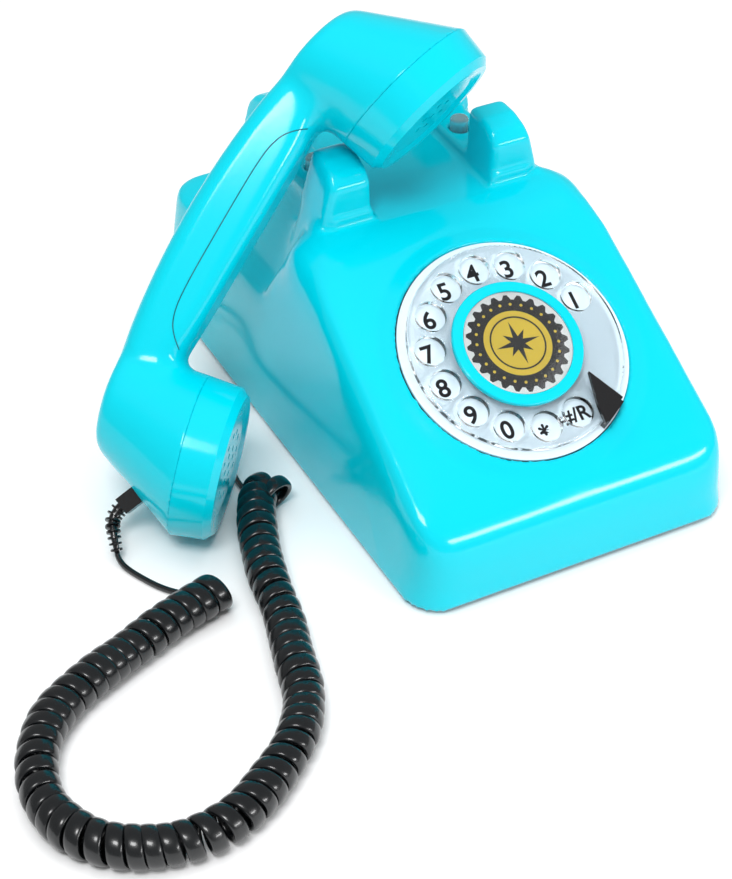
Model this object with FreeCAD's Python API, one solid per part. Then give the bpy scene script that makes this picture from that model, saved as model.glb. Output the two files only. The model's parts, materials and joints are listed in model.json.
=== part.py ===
"""Compact rotary desk phone with its handset off the hook, as separate solids.

The base is modelled in its own frame: X to the right, Y from the front to the back, Z up, its plane of
symmetry at x = 0 and the table at z = 0. The dial and the handset have frames of their own, placed in the
base's frame. Every solid is moved by BASE_PLACE when it is written, so that the part's origin is the middle
of the ground that the base and the handset cover. Millimetres throughout.
"""
import FreeCAD, Part
import math
import os

V = FreeCAD.Vector
UP = V(0, 0, 1)

# ---------------------------------------------------------------- driving dimensions
BASE_PLACE = V(38.5, -14.9, 0)          # puts the origin under the middle of the whole set

# base shell
BASE_WIDTH = 130.0
FRONT_Y = -98.0
REAR_Y = 128.0
FOOT_HEIGHT = 2.0
WALL = 2.5
SIDE_DRAFT = 3.7                 # degrees
REAR_DRAFT = 8.0                 # degrees
CORNER_R = 14.0                  # corners seen from above
FACE_ANGLE = 29.0                # slope of the dial face, degrees
LIP_R = 23.0                     # front edge between the skirt and the dial face
BROW_R = 30.0                    # top of the dial face
BROW_Y = 12.0                    # where the shoulders drop behind the dial face
SADDLE_Z = 87.5                  # floor between the cradle posts
DECK_Z = 55.0                    # low rear deck
DECK_Y = 34.0                    # where the deck starts

# cradle
TOWER_HALF = BASE_WIDTH / 2 - 24.5
TOWER_FOOT_HALF = BASE_WIDTH / 2 - 5.0
TOWER_FRONT = 15.0
TOWER_BACK = REAR_Y - 42.0
TOWER_BACK_FOOT = REAR_Y - 24.0
WEB_Z = SADDLE_Z + 4.5           # ledges that carry the hook plungers
POST_OUT = TOWER_HALF - 1.0
POST_IN = POST_OUT - 15.5
POST_TOP_Z = SADDLE_Z + 22.8
POST_DEPTH = 20.0
POST_SLOPE = 10.0                # run of the sloping outer face at the top of a post
POST_EDGE_R = 2.6
POST_FOOT_Z = SADDLE_Z - 25.5    # the outer face of a post runs down the tower to here
POST_FLARE = 0.26                # outward run of that face per millimetre down

# dial
DIAL_Y = -44.4                   # middle of the dial on the face
DIAL_Z = 60.1
WHEEL_R = 40.0
WHEEL_THICK = 2.8
WHEEL_LIFT = 2.6                 # underside of the wheel above the face
HOLE_COUNT = 12
HOLE_R = 0.14 * WHEEL_R
HOLE_EDGE_R = 0.7                # rounding of each hole's two edges
HOLE_RING_R = 0.8 * WHEEL_R
HOLE_FIRST = 20.0                # degrees, from the dial's right, anticlockwise
HOLE_STEP = 24.4
HUB_R = WHEEL_R - 15.8
CARD_R = HUB_R - 4.0
RING_R = WHEEL_R + 13.0           # raised ring moulded round the dial
RING_RISE = 2.0
DIAL_GAP = 0.4
STOP_ANGLE = -50.0
SHAFT_R = 3.0
SHAFT_CLEAR = 0.05
GEAR_TEETH = 40
PINION_TEETH = 8
GEAR_MODULE = 0.8
GEAR_THICK = 2.0
GEAR_R = GEAR_TEETH * GEAR_MODULE / 2
PINION_R = PINION_TEETH * GEAR_MODULE / 2
GEAR_GAP = 0.25
GEAR_Z = -13.0
SPRING_Z = -9.6
BOSS_R = 5.5                     # bearing of the dial's shaft
BOSS_Z = -6.0
PLATE_LIFT = 0.6
NUMBER_PLATE_THICK = 1.0
FRAME_FLANGE_Z = -WALL - 1.2
GOVERNOR_ANGLE = 90.0            # the governor sits up the slope from the shaft
GOVERNOR_R = 10.0

# hook
PLUNGER_R = 3.5
PLUNGER_RISE = 4.5
PLUNGER_CLEAR = 0.4
STEM_R = 2.0
CROSSBAR_Z = SADDLE_Z - 21.5
BRACKET_Z = CROSSBAR_Z - 14.0

# bottom plate and feet
PLATE_THICK = 1.2
PLATE_TOP = FOOT_HEIGHT + PLATE_THICK
SCREW_R = 1.5
FOOT_R = 7.0
FOOT_STEM_R = 2.5

# ringer and its switch
GONG_R = 21.0
GONG_Y = REAR_Y - 32.0
GONG_X = 24.5
GONG_Z = 17.0
STRIKER_Y = GONG_Y - 20.0
SWITCH_X = 24.0
SWITCH_Z = 10.0

# handset
HANDSET_POS = V(6.4 - BASE_WIDTH / 2, 5.0, 80.9)
HANDSET_TURN = (-161.3, 43.8, 61.05)   # yaw, pitch and roll in degrees
CAP_SPACING = 150.0              # between the middles of the two cap seams
CAP_TILT = 16.0                  # the caps lean towards each other, degrees
CAP_R = 29.0
CAP_DEPTH = 14.5
CAP_CHAMFER = 2.5
CUP_R_BACK = CAP_R - 11.0        # the cup narrows to this under the handle's back
CUP_BACK_X = 71.0
ARCH_TOP = 45.3                  # crown of the handle's back
ARCH_END = 32.0                  # back of the handle at its ends
ARCH_HALF = 90.0
GRIP_UNDER = 20.5                # underside of the handle
GRIP_SEAM = 31.5
GRIP_WIDTH = 27.0
GRIP_HALF = 46.0                 # the handle's clear length runs this far each side
GRIP_EDGE_R = 6.0
SHELL_WALL = 2.4

# cords
LEAD_D = 4.6
COIL_D = 14.4
SOCKET = (10.0, 6.6, 9.0)        # opening and depth of a modular socket
JACK_Y = REAR_Y - 23.0
JACK_Z = 9.6
JACK_WIDE = SOCKET[0] + 3.0
JACK_TALL = SOCKET[1] + 4.8
JACK_DEEP = SOCKET[2] + 5.0
BOOT_RINGS = 6
COIL_Z = COIL_D / 2 + 0.1
LEAD_Z = LEAD_D / 2 + 0.1


# ---------------------------------------------------------------- small helpers
def box(x0, x1, y0, y1, z0, z1):
    return Part.makeBox(x1 - x0, y1 - y0, z1 - z0, V(x0, y0, z0))


def rod(radius, start, end):
    return Part.makeCylinder(radius, (end - start).Length, start, end - start)


def tube(outer, inner, start, end):
    return rod(outer, start, end).cut(rod(inner, start, end))


def ring(outer, inner, z0, z1):
    return tube(outer, inner, V(0, 0, z0), V(0, 0, z1))


def disc(radius, z0, z1, x=0.0, y=0.0):
    return rod(radius, V(x, y, z0), V(x, y, z1))


def prism(points, along):
    wire = Part.makePolygon(points + [points[0]])
    return Part.Face(wire).extrude(along)


def fuse(shapes):
    whole = shapes[0]
    for shape in shapes[1:]:
        whole = whole.fuse(shape)
    return whole.removeSplitter()


def cut(shape, tools):
    for tool in tools:
        shape = shape.cut(tool)
    return shape


def mirror_x(shape):
    return shape.mirror(V(0, 0, 0), V(1, 0, 0))


def polar(radius, degrees, z=0.0):
    angle = math.radians(degrees)
    return V(radius * math.cos(angle), radius * math.sin(angle), z)


def rounded_outline(points):
    """A closed wire through (point, radius) corners, each rounded by its own arc."""
    count = len(points)
    starts, ends, mids = [], [], []
    for i in range(count):
        corner, radius = points[i]
        before = (points[i - 1][0] - corner).normalize()
        after = (points[(i + 1) % count][0] - corner).normalize()
        half = before.getAngle(after) / 2
        reach = radius / math.tan(half)
        starts.append(corner + before * reach)
        ends.append(corner + after * reach)
        middle = (before + after).normalize()
        mids.append(corner + middle * (radius / math.sin(half) - radius))
    edges = []
    for i in range(count):
        if points[i][1] > 0:
            edges.append(Part.Arc(starts[i], mids[i], ends[i]).toShape())
        following = starts[(i + 1) % count]
        if (following - ends[i]).Length > 1e-6:
            edges.append(Part.LineSegment(ends[i], following).toShape())
    return Part.Wire(edges)


def rounded_plate(x0, x1, y0, y1, radius, z0, z1):
    corners = [V(x0, y0, z0), V(x1, y0, z0), V(x1, y1, z0), V(x0, y1, z0)]
    wire = rounded_outline([(corner, radius) for corner in corners])
    return Part.Face(wire).extrude(V(0, 0, z1 - z0))


# ---------------------------------------------------------------- frames of the dial and the handset
FACE = math.radians(FACE_ANGLE)
DIAL = FreeCAD.Placement(V(0, DIAL_Y, DIAL_Z), FreeCAD.Rotation(V(1, 0, 0), FACE_ANGLE))
HANDSET = FreeCAD.Placement(HANDSET_POS, FreeCAD.Rotation(*HANDSET_TURN))


def placed(shape, place):
    moved = shape.copy()
    moved.Placement = place.multiply(moved.Placement)
    return moved


def on_dial(shape):
    return placed(shape, DIAL)


def on_handset(shape):
    return placed(shape, HANDSET)


# ---------------------------------------------------------------- base shell
TOP_Z = 120.0                    # above everything but the handset


def plan_loft(inset):
    """The drafted block that gives the base its sides, from the feet up."""
    def outline(z):
        half = BASE_WIDTH / 2 - inset - z * math.tan(math.radians(SIDE_DRAFT))
        rear = REAR_Y - inset - z * math.tan(math.radians(REAR_DRAFT))
        front = FRONT_Y + inset
        corners = [V(-half, front, z), V(half, front, z), V(half, rear, z), V(-half, rear, z)]
        return rounded_outline([(corner, CORNER_R - inset) for corner in corners])
    return Part.makeLoft([outline(0.0), outline(TOP_Z)], True, True)


def side_profile(inset, low):
    """The base seen from its side, extruded right across it."""
    slope = math.tan(FACE)
    drop = inset / math.cos(FACE)
    reach = BASE_WIDTH
    front = FRONT_Y + inset
    top = SADDLE_Z - inset
    deck = DECK_Z - inset
    face_z = DIAL_Z + (front - DIAL_Y) * slope - drop
    brow_y = DIAL_Y + (top + drop - DIAL_Z) / slope
    outline = [(V(-reach, front, low), 0.0),
               (V(-reach, front, face_z), LIP_R - inset),
               (V(-reach, brow_y, top), BROW_R - inset),
               (V(-reach, BROW_Y + 8 - inset, top), 2.0),
               (V(-reach, DECK_Y - inset, deck), 3.0),
               (V(-reach, REAR_Y + reach, deck), 0.0),
               (V(-reach, REAR_Y + reach, low), 0.0)]
    return Part.Face(rounded_outline(outline)).extrude(V(2 * reach, 0, 0))


def shell_block(inset, low):
    return plan_loft(inset).common(side_profile(inset, low))


def tower(inset):
    """The flared block under the cradle."""
    foot_z = DECK_Z - 10

    def outline(half, front, back, z):
        corners = [V(-half, front, z), V(half, front, z), V(half, back, z), V(-half, back, z)]
        return rounded_outline([(corner, 6.0) for corner in corners])
    foot = outline(TOWER_FOOT_HALF - inset, TOWER_FRONT + inset, TOWER_BACK_FOOT - inset, foot_z)
    top = outline(TOWER_HALF - inset, TOWER_FRONT + inset, TOWER_BACK - inset, SADDLE_Z - inset)
    return Part.makeLoft([foot, top], True, True)


def web():
    """The left ledge that carries a plunger, between two posts."""
    solid = box(-TOWER_HALF, -POST_IN, TOWER_FRONT, TOWER_BACK, SADDLE_Z - 2, WEB_Z)
    edges = [e for e in solid.Edges if e.BoundBox.ZMin > WEB_Z - 0.1 and e.BoundBox.YLength > 1]
    return solid.makeFillet(1.5, edges)


def post(front_y, outward):
    """The left post whose outer face stands at front_y and faces outward, -1 to the front, 1 to the back."""
    bottom = POST_FOOT_Z
    inner_y = front_y - outward * POST_DEPTH
    side = [V(-60, front_y, bottom), V(-60, front_y, POST_TOP_Z - 7.0),
            V(-60, front_y - outward * POST_SLOPE * 0.35, POST_TOP_Z - 2.6),
            V(-60, front_y - outward * POST_SLOPE, POST_TOP_Z),
            V(-60, inner_y, POST_TOP_Z), V(-60, inner_y, bottom)]
    foot = POST_OUT + POST_FLARE * (POST_TOP_Z - bottom)
    across = [V(-foot, 0, bottom), V(-POST_OUT, 0, POST_TOP_Z), V(-POST_OUT, 0, POST_TOP_Z + 1),
              V(-POST_IN - 1.2, 0, POST_TOP_Z + 1), V(-POST_IN, 0, SADDLE_Z - 3), V(-POST_IN, 0, bottom)]
    solid = prism(side, V(60, 0, 0)).common(prism(across, V(0, 200, 0)))
    edges = [e for e in solid.Edges if e.BoundBox.ZMax > bottom + 1]
    return solid.makeFillet(POST_EDGE_R, edges)


def dial_ring():
    """The low cone moulded round the dial, in the dial's frame."""
    return Part.makeCone(RING_R, WHEEL_R + 3 * DIAL_GAP + 2, RING_RISE + 1, V(0, 0, -1))


def plunger_places():
    x = (POST_IN + TOWER_HALF) / 2 - 1.8
    y = (TOWER_FRONT + TOWER_BACK) / 2
    return [(-x, y), (x, y)]


def boss_places():
    side = BASE_WIDTH / 2 - WALL - 9
    return [(-side, FRONT_Y + 24), (side, FRONT_Y + 24), (-side, REAR_Y - 48), (side, REAR_Y - 48)]


def boss(x, y):
    outward = math.copysign(1.0, x)
    wall_x = outward * (BASE_WIDTH / 2 - WALL)
    rib = box(min(x, wall_x), max(x, wall_x), y - 1.5, y + 1.5, PLATE_TOP, PLATE_TOP + 14)
    return fuse([disc(4.0, PLATE_TOP, PLATE_TOP + 16, x, y), rib])


def left_wall_x(z, inset=0.0):
    return -(BASE_WIDTH / 2 - inset - z * math.tan(math.radians(SIDE_DRAFT)))


def rear_wall_y(z, inset=0.0):
    return REAR_Y - inset - z * math.tan(math.radians(REAR_DRAFT))


def housing():
    low_cut = box(-200, 200, -300, 300, -10, FOOT_HEIGHT)
    outer = shell_block(0.0, 0.0)
    left = [post(TOWER_FRONT + 1, -1), post(TOWER_BACK, 1), web()]
    outer = fuse([outer, tower(0.0)] + left + [mirror_x(piece) for piece in left])
    outer = fuse([outer, on_dial(dial_ring())])
    pockets = []
    for y0 in (TOWER_FRONT + 1 + WALL, TOWER_BACK - POST_DEPTH + WALL + 2):
        pocket = box(-POST_OUT + WALL + 1, -POST_IN - WALL - 1, y0, y0 + POST_DEPTH - 2 * WALL - 2,
                     SADDLE_Z - 6, POST_TOP_Z - 9)
        pockets += [pocket, mirror_x(pocket)]
    hollow = shell_block(WALL, -10.0).fuse(tower(WALL))
    shell = cut(outer, [hollow, low_cut] + pockets)
    shell = shell.cut(on_dial(disc(WHEEL_R + 3.0, -20, 20)))
    for x, y in plunger_places():
        shell = shell.cut(disc(PLUNGER_R + PLUNGER_CLEAR, SADDLE_Z - 8, WEB_Z + 5, x, y))
    shell = cut(shell, [line_jack_space(), handset_jack_space(), ringer_switch_space()])
    bosses = []
    for x, y in boss_places():
        bosses.append(boss(x, y).cut(disc(SCREW_R, 0, PLATE_TOP + 12, x, y)))
    return fuse([shell] + bosses)


def base_plate():
    inset = WALL + 0.3
    plate = plan_loft(inset).common(box(-200, 200, -300, 300, FOOT_HEIGHT, PLATE_TOP))
    for x, y in boss_places():
        plate = plate.cut(disc(SCREW_R, -1, 20, x, y))
    for x, y in foot_places():
        plate = plate.cut(disc(FOOT_STEM_R, -1, 20, x, y))
    return plate


def foot_places():
    side = BASE_WIDTH / 2 - WALL - 22
    return [(-side, FRONT_Y + 16), (side, FRONT_Y + 16), (-side, REAR_Y - 22), (side, REAR_Y - 22)]


def rubber_feet():
    feet = []
    for x, y in foot_places():
        pad = disc(FOOT_R, 0, FOOT_HEIGHT, x, y)
        stem = disc(FOOT_STEM_R, FOOT_HEIGHT, PLATE_TOP + 1.5, x, y)
        feet.append(pad.fuse(stem).removeSplitter())
    return feet


def base_screws():
    screws = []
    for x, y in boss_places():
        head = disc(3.0, FOOT_HEIGHT - 1.4, FOOT_HEIGHT, x, y)
        slot = box(x - 2.5, x + 2.5, y - 0.4, y + 0.4, FOOT_HEIGHT - 1.5, FOOT_HEIGHT - 0.8)
        screws.append(head.fuse(disc(SCREW_R, FOOT_HEIGHT, PLATE_TOP + 10, x, y)).cut(slot).removeSplitter())
    return screws


# ---------------------------------------------------------------- dial, in the dial's frame
def hole_angles():
    return [HOLE_FIRST + HOLE_STEP * i for i in range(HOLE_COUNT)]


def finger_wheel():
    wheel = ring(WHEEL_R, SHAFT_R, WHEEL_LIFT, WHEEL_LIFT + WHEEL_THICK)
    rims = [e for e in wheel.Edges if abs(e.Length - 2 * math.pi * WHEEL_R) < 0.01]
    wheel = wheel.makeFillet(0.8, rims)
    for angle in hole_angles():
        at = polar(HOLE_RING_R, angle)
        wheel = wheel.cut(disc(HOLE_R, 0, 20, at.x, at.y))
    edges = [e for e in wheel.Edges if abs(e.Length - 2 * math.pi * HOLE_R) < 0.01]
    return wheel.makeFillet(HOLE_EDGE_R, edges)


def hub_ring():
    low = WHEEL_LIFT + WHEEL_THICK
    body = ring(HUB_R, CARD_R, low, low + 1.8)
    rims = [e for e in body.Edges if abs(e.Length - 2 * math.pi * HUB_R) < 0.01]
    return body.makeFillet(0.7, [e for e in rims if e.BoundBox.ZMax > low + 1])


def number_card():
    low = WHEEL_LIFT + WHEEL_THICK
    return disc(CARD_R - 0.1, low, low + 0.6)


def card_lens():
    low = WHEEL_LIFT + WHEEL_THICK + 0.6
    return disc(CARD_R - 0.1, low, low + 0.8)


def dial_shaft():
    return disc(SHAFT_R, GEAR_Z - 1.5, WHEEL_LIFT + WHEEL_THICK)


def number_plate():
    return ring(WHEEL_R + 2.7, BOSS_R, PLATE_LIFT, PLATE_LIFT + NUMBER_PLATE_THICK)


def governor_place():
    return polar(GEAR_R + PINION_R + GEAR_GAP, GOVERNOR_ANGLE)


def dial_frame():
    """The pressed frame that holds the dial under the face, with the shaft's bearing in its middle."""
    deck = disc(WHEEL_R + 2.7, PLATE_LIFT - 1.6, PLATE_LIFT)
    rim = ring(WHEEL_R + 2.7, WHEEL_R + 0.7, FRAME_FLANGE_Z, PLATE_LIFT - 1.6)
    flange = ring(WHEEL_R + 7.5, WHEEL_R + 0.7, FRAME_FLANGE_Z, -WALL)
    bearing = disc(BOSS_R, BOSS_Z, PLATE_LIFT + NUMBER_PLATE_THICK)
    at = governor_place()
    governor_boss = disc(3.2, BOSS_Z, PLATE_LIFT - 1.6, at.x, at.y)
    frame = fuse([deck, rim, flange, bearing, governor_boss])
    frame = frame.cut(disc(SHAFT_R + SHAFT_CLEAR, -30, 30))
    return frame.cut(disc(1.5 + SHAFT_CLEAR, -30, PLATE_LIFT - 2.6, at.x, at.y))


def toothed_wheel(teeth, module, z0, z1, first_degrees):
    """Straight-sided teeth, thin enough to run with clearance."""
    pitch_r = teeth * module / 2
    root_r = pitch_r - 1.2 * module
    tip_r = pitch_r + 0.8 * module
    body = disc(root_r, z0, z1)
    half_root = math.radians(360.0 / teeth * 0.30)
    half_tip = math.radians(360.0 / teeth * 0.10)
    parts = [body]
    for i in range(teeth):
        middle = math.radians(first_degrees + 360.0 * i / teeth)
        corners = []
        for radius, angle in ((root_r - 0.3, -half_root), (tip_r, -half_tip), (tip_r, half_tip),
                              (root_r - 0.3, half_root)):
            turn = middle + angle
            corners.append(V(radius * math.cos(turn), radius * math.sin(turn), z0))
        parts.append(prism(corners, V(0, 0, z1 - z0)))
    return body.multiFuse(parts[1:]).removeSplitter()


def drive_gear():
    gear = toothed_wheel(GEAR_TEETH, GEAR_MODULE, GEAR_Z, GEAR_Z + GEAR_THICK, GOVERNOR_ANGLE)
    windows = [disc(3.0, GEAR_Z - 1, GEAR_Z + 5, *polar(9.0, 120.0 * i)[:2]) for i in range(3)]
    return cut(gear, [disc(SHAFT_R, -30, 30)] + windows)


def governor_rotor():
    """Pinion, spindle and fly-weight disc in one piece, turning about the governor's axis."""
    half_pitch = 180.0 / PINION_TEETH
    facing = GOVERNOR_ANGLE + 180.0 + half_pitch
    pinion = toothed_wheel(PINION_TEETH, GEAR_MODULE, GEAR_Z, GEAR_Z + GEAR_THICK, facing)
    spindle = disc(1.5, GEAR_Z - 9.6, PLATE_LIFT - 3.0)
    weights = disc(GOVERNOR_R - 2.5, GEAR_Z - 6.0, GEAR_Z - 3.0)
    slots = [box(-1, 1, 3, 9, GEAR_Z - 7, GEAR_Z - 2), box(-1, 1, -9, -3, GEAR_Z - 7, GEAR_Z - 2)]
    rotor = cut(fuse([pinion, spindle, weights]), slots)
    rotor.translate(governor_place())
    return rotor


def governor_cup():
    """Fixed drum round the fly weights, hung from the dial frame on two legs."""
    floor = GEAR_Z - 9.0
    drum = ring(GOVERNOR_R, GOVERNOR_R - 1.2, floor, GEAR_Z - 2.5)
    base = disc(GOVERNOR_R, floor - 1.0, floor).cut(disc(1.5 + SHAFT_CLEAR, floor - 2, floor + 1))
    reach = GOVERNOR_R + 1.5
    cup = [drum, base]
    for side in (-1, 1):
        leg = box(min(side * (GOVERNOR_R - 0.6), side * reach), max(side * (GOVERNOR_R - 0.6), side * reach),
                  1, 5, floor, PLATE_LIFT - 1.6)
        cup.append(leg)
    solid = fuse(cup)
    solid.translate(governor_place())
    return solid


def dial_spring():
    """Flat spiral that returns the dial, as half turns of growing radius."""
    strip = 0.5
    pitch = 1.6
    outer_edges, inner_edges = [], []
    radius = BOSS_R + 1.0
    centre = 0.0
    left = V(radius, 0, SPRING_Z)
    for turn in range(6):
        side = 1 if turn % 2 == 0 else -1
        for offset, edges in ((0.0, outer_edges), (-strip, inner_edges)):
            r = radius + offset
            a = V(centre + side * r, 0, SPRING_Z)
            b = V(centre, side * r, SPRING_Z)
            c = V(centre - side * r, 0, SPRING_Z)
            edges.append(Part.Arc(a, b, c).toShape())
        centre += side * pitch / 4
        radius += pitch / 4
    start = Part.LineSegment(outer_edges[0].Vertexes[0].Point, inner_edges[0].Vertexes[0].Point).toShape()
    end = Part.LineSegment(outer_edges[-1].Vertexes[-1].Point, inner_edges[-1].Vertexes[-1].Point).toShape()
    wire = Part.Wire(Part.__sortEdges__(outer_edges + [end] + inner_edges + [start]))
    return Part.Face(wire).extrude(V(0, 0, 2.5))


def finger_stop():
    """The black hook that the finger meets: a blade over the wheel, screwed down beside it."""
    above = WHEEL_LIFT + WHEEL_THICK + 0.5
    blade = [polar(HUB_R + 2.6, STOP_ANGLE + 7, above), polar(WHEEL_R + 1.4, STOP_ANGLE + 1, above),
             polar(WHEEL_R + 1.9, STOP_ANGLE - 17, above), polar(WHEEL_R - 5, STOP_ANGLE - 11, above)]
    top = prism(blade, V(0, 0, 1.6))
    foot = [polar(WHEEL_R + 0.5, STOP_ANGLE - 1, PLATE_LIFT + NUMBER_PLATE_THICK),
            polar(WHEEL_R + 2.4, STOP_ANGLE - 1, PLATE_LIFT + NUMBER_PLATE_THICK),
            polar(WHEEL_R + 2.4, STOP_ANGLE - 15, PLATE_LIFT + NUMBER_PLATE_THICK),
            polar(WHEEL_R + 0.5, STOP_ANGLE - 15, PLATE_LIFT + NUMBER_PLATE_THICK)]
    return fuse([top, prism(foot, V(0, 0, above + 1.6 - PLATE_LIFT - NUMBER_PLATE_THICK))])


# ---------------------------------------------------------------- hook
def hook_plungers():
    """Left and right plungers: a button, its collar under the ledge and its stem down to the crossbar."""
    plungers = []
    for x, y in plunger_places():
        top = WEB_Z + PLUNGER_RISE
        button = disc(PLUNGER_R, SADDLE_Z - WALL - 2, top, x, y)
        rim = [e for e in button.Edges if e.BoundBox.ZMin > top - 0.1]
        button = button.makeFillet(1.2, rim)
        stem = disc(STEM_R, CROSSBAR_Z + 4, SADDLE_Z - WALL - 2, x, y)
        plungers.append(button.fuse(stem).removeSplitter())
    return plungers


def hook_crossbar():
    (x0, y), (x1, _) = plunger_places()
    bar = box(x0 - 5, x1 + 5, y - 4, y + 4, CROSSBAR_Z, CROSSBAR_Z + 4)
    return bar.cut(disc(2.6, CROSSBAR_Z - 1, CROSSBAR_Z + 9, -15, y)).cut(
        disc(2.6, CROSSBAR_Z - 1, CROSSBAR_Z + 9, 15, y))


def hook_bracket():
    """Pressed steel gallows from the base plate, with two guide pins for the crossbar."""
    (x0, y), (x1, _) = plunger_places()
    shelf = box(x0, x1, y - 8, y + 8, BRACKET_Z, BRACKET_Z + 2)
    legs = [box(x0, x0 + 2, y - 8, y + 8, PLATE_TOP, BRACKET_Z),
            box(x1 - 2, x1, y - 8, y + 8, PLATE_TOP, BRACKET_Z)]
    pins = [disc(2.55, BRACKET_Z + 2, CROSSBAR_Z + 7, side * 15, y) for side in (-1, 1)]
    return fuse([shelf] + legs + pins)


def hook_spring():
    """Helical spring between the bracket and the crossbar."""
    (_, y), _ = plunger_places()
    turns = 6
    low = BRACKET_Z + 2.5
    height = CROSSBAR_Z - 0.5 - low
    helix = Part.makeHelix(height / turns, height, 4.2)
    section = Part.Wire(Part.Circle(V(4.2, 0, 0), V(0, 1, 0), 0.45).toShape())
    spring = Part.Wire(helix.Edges).makePipeShell([section], True, True)
    spring.translate(V(0, y, low))
    return spring


def hook_switch():
    """Leaf contact block on the bracket, in front of the crossbar."""
    (_, y), _ = plunger_places()
    block = box(-9, 9, y - 22, y - 10, BRACKET_Z - 8, BRACKET_Z + 6)
    leaves = [box(-6 + 5 * i, -4 + 5 * i, y - 18, y - 17.6, BRACKET_Z + 6, BRACKET_Z + 20) for i in range(3)]
    arm = box(-9, 9, y - 10, y - 8, BRACKET_Z - 6, BRACKET_Z + 2)
    return fuse([block, arm] + leaves)


# ---------------------------------------------------------------- ringer, board, jacks
def gong(x):
    dome = Part.makeCone(GONG_R, GONG_R - 5, 9.0, V(x, GONG_Y, GONG_Z))
    inner = Part.makeCone(GONG_R - 1.6, GONG_R - 6.6, 7.8, V(x, GONG_Y, GONG_Z - 0.1))
    return dome.cut(inner).cut(disc(1.6, 0, 60, x, GONG_Y))


def gong_screws():
    screws = []
    for x in (-GONG_X, GONG_X):
        top = GONG_Z + 9.0
        screws.append(disc(1.6, PLATE_TOP + 2.0, top, x, GONG_Y).fuse(disc(3.4, top, top + 2, x, GONG_Y)))
    return [screw.removeSplitter() for screw in screws]


def ringer_frame():
    """Flat frame on the base plate, with a boss under each gong and a pivot post for the clapper."""
    plate = box(-GONG_X - 8, GONG_X + 8, STRIKER_Y - 12, GONG_Y + 8, PLATE_TOP, PLATE_TOP + 2)
    tongue = box(-18, 18, STRIKER_Y - 28, STRIKER_Y - 12, PLATE_TOP, PLATE_TOP + 2)
    pivot = disc(2.0, PLATE_TOP + 2, PLATE_TOP + 16, 0, STRIKER_Y - 8)
    return fuse([plate, tongue, pivot])


def ringer_coil():
    """Two bobbins on a yoke, behind the clapper's pivot."""
    y = STRIKER_Y - 21
    yoke = box(-16, 16, y - 3, y + 3, PLATE_TOP + 2, PLATE_TOP + 4)
    bobbins = [disc(5.0, PLATE_TOP + 4, PLATE_TOP + 16, side * 9, y) for side in (-1, 1)]
    return fuse([yoke] + bobbins)


def clapper():
    """Arm from the pivot to a ball between the gongs."""
    y0 = STRIKER_Y - 8
    z0 = PLATE_TOP + 6
    hub = tube(4.0, 2.0 + SHAFT_CLEAR, V(0, y0, z0), V(0, y0, z0 + 4))
    arm = box(-0.8, 0.8, y0 + 3.5, GONG_Y - 4, z0 + 1, z0 + 3)
    tail = box(-6, 6, y0 - 6.5, y0 - 3.5, z0, z0 + 4)
    ball = disc(2.4, z0, GONG_Z + 5.0, 0, GONG_Y - 4)
    return fuse([hub, arm, tail, ball])


def ballast_weight():
    return rounded_plate(-32, 32, -26, 14, 3, PLATE_TOP, PLATE_TOP + 9)


def main_board():
    """Circuit board on four pillars, with its larger components."""
    y0, y1 = FRONT_Y + 18, FRONT_Y + 60
    board_z = PLATE_TOP + 6
    board = box(-36, 36, y0, y1, board_z, board_z + 1.6)
    pillars = [disc(2.5, PLATE_TOP, board_z, x, y) for x in (-32, 32) for y in (y0 + 4, y1 - 4)]
    low = board_z + 1.6
    parts = [box(-20, -6, y0 + 8, y0 + 18, low, board_z + 6), disc(4, low, board_z + 11, 8, y0 + 14),
             disc(3, low, board_z + 9, 18, y0 + 14), box(0, 22, y0 + 26, y0 + 34, low, board_z + 5)]
    return fuse([board] + pillars + parts)


def socket_block(origin, out, across):
    """A modular jack whose mouth is at origin, facing out, its socket open to the outside."""
    wide, tall, deep = SOCKET

    def block(w, t, front, back):
        corner = origin - across * (w / 2) - UP * (t / 2)
        points = [corner, corner + across * w, corner + across * w + UP * t, corner + UP * t]
        face = [p - out * front for p in points]
        return prism(face, out * -(back - front))
    return block(JACK_WIDE, JACK_TALL, 0, JACK_DEEP).cut(block(wide, tall, -1, deep))


def jack_space(origin, out, across):
    corner = origin - across * (JACK_WIDE / 2 + 0.2) - UP * (JACK_TALL / 2 + 0.2) + out * 20
    w, t = JACK_WIDE + 0.4, JACK_TALL + 0.4
    points = [corner, corner + across * w, corner + across * w + UP * t, corner + UP * t]
    return prism(points, out * -(JACK_DEEP + 20.2))


def handset_jack_origin():
    return V(left_wall_x(JACK_Z) + 0.8, JACK_Y, JACK_Z)


def line_jack_origin():
    return V(-22.0, rear_wall_y(JACK_Z) - 1.2, JACK_Z)


def handset_jack_space():
    return jack_space(handset_jack_origin(), V(-1, 0, 0), V(0, 1, 0))


def line_jack_space():
    return jack_space(line_jack_origin(), V(0, 1, 0), V(1, 0, 0))


def ringer_switch_space():
    return box(SWITCH_X - 7, SWITCH_X + 7, REAR_Y - 20, REAR_Y + 20, SWITCH_Z - 2.5, SWITCH_Z + 2.5)


def ringer_switch_body():
    y = rear_wall_y(SWITCH_Z + 6, WALL) - 1.0
    body = box(SWITCH_X - 9, SWITCH_X + 9, y - 6, y, SWITCH_Z - 5, SWITCH_Z + 5)
    return body.cut(box(SWITCH_X - 6.5, SWITCH_X + 6.5, y - 4, y + 1, SWITCH_Z - 2.3, SWITCH_Z + 2.3))


def ringer_switch_knob():
    y = rear_wall_y(SWITCH_Z + 6, WALL) - 1.0
    return box(SWITCH_X - 3, SWITCH_X + 3, y - 3.6, rear_wall_y(SWITCH_Z) + 1.2, SWITCH_Z - 2, SWITCH_Z + 2)


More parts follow.
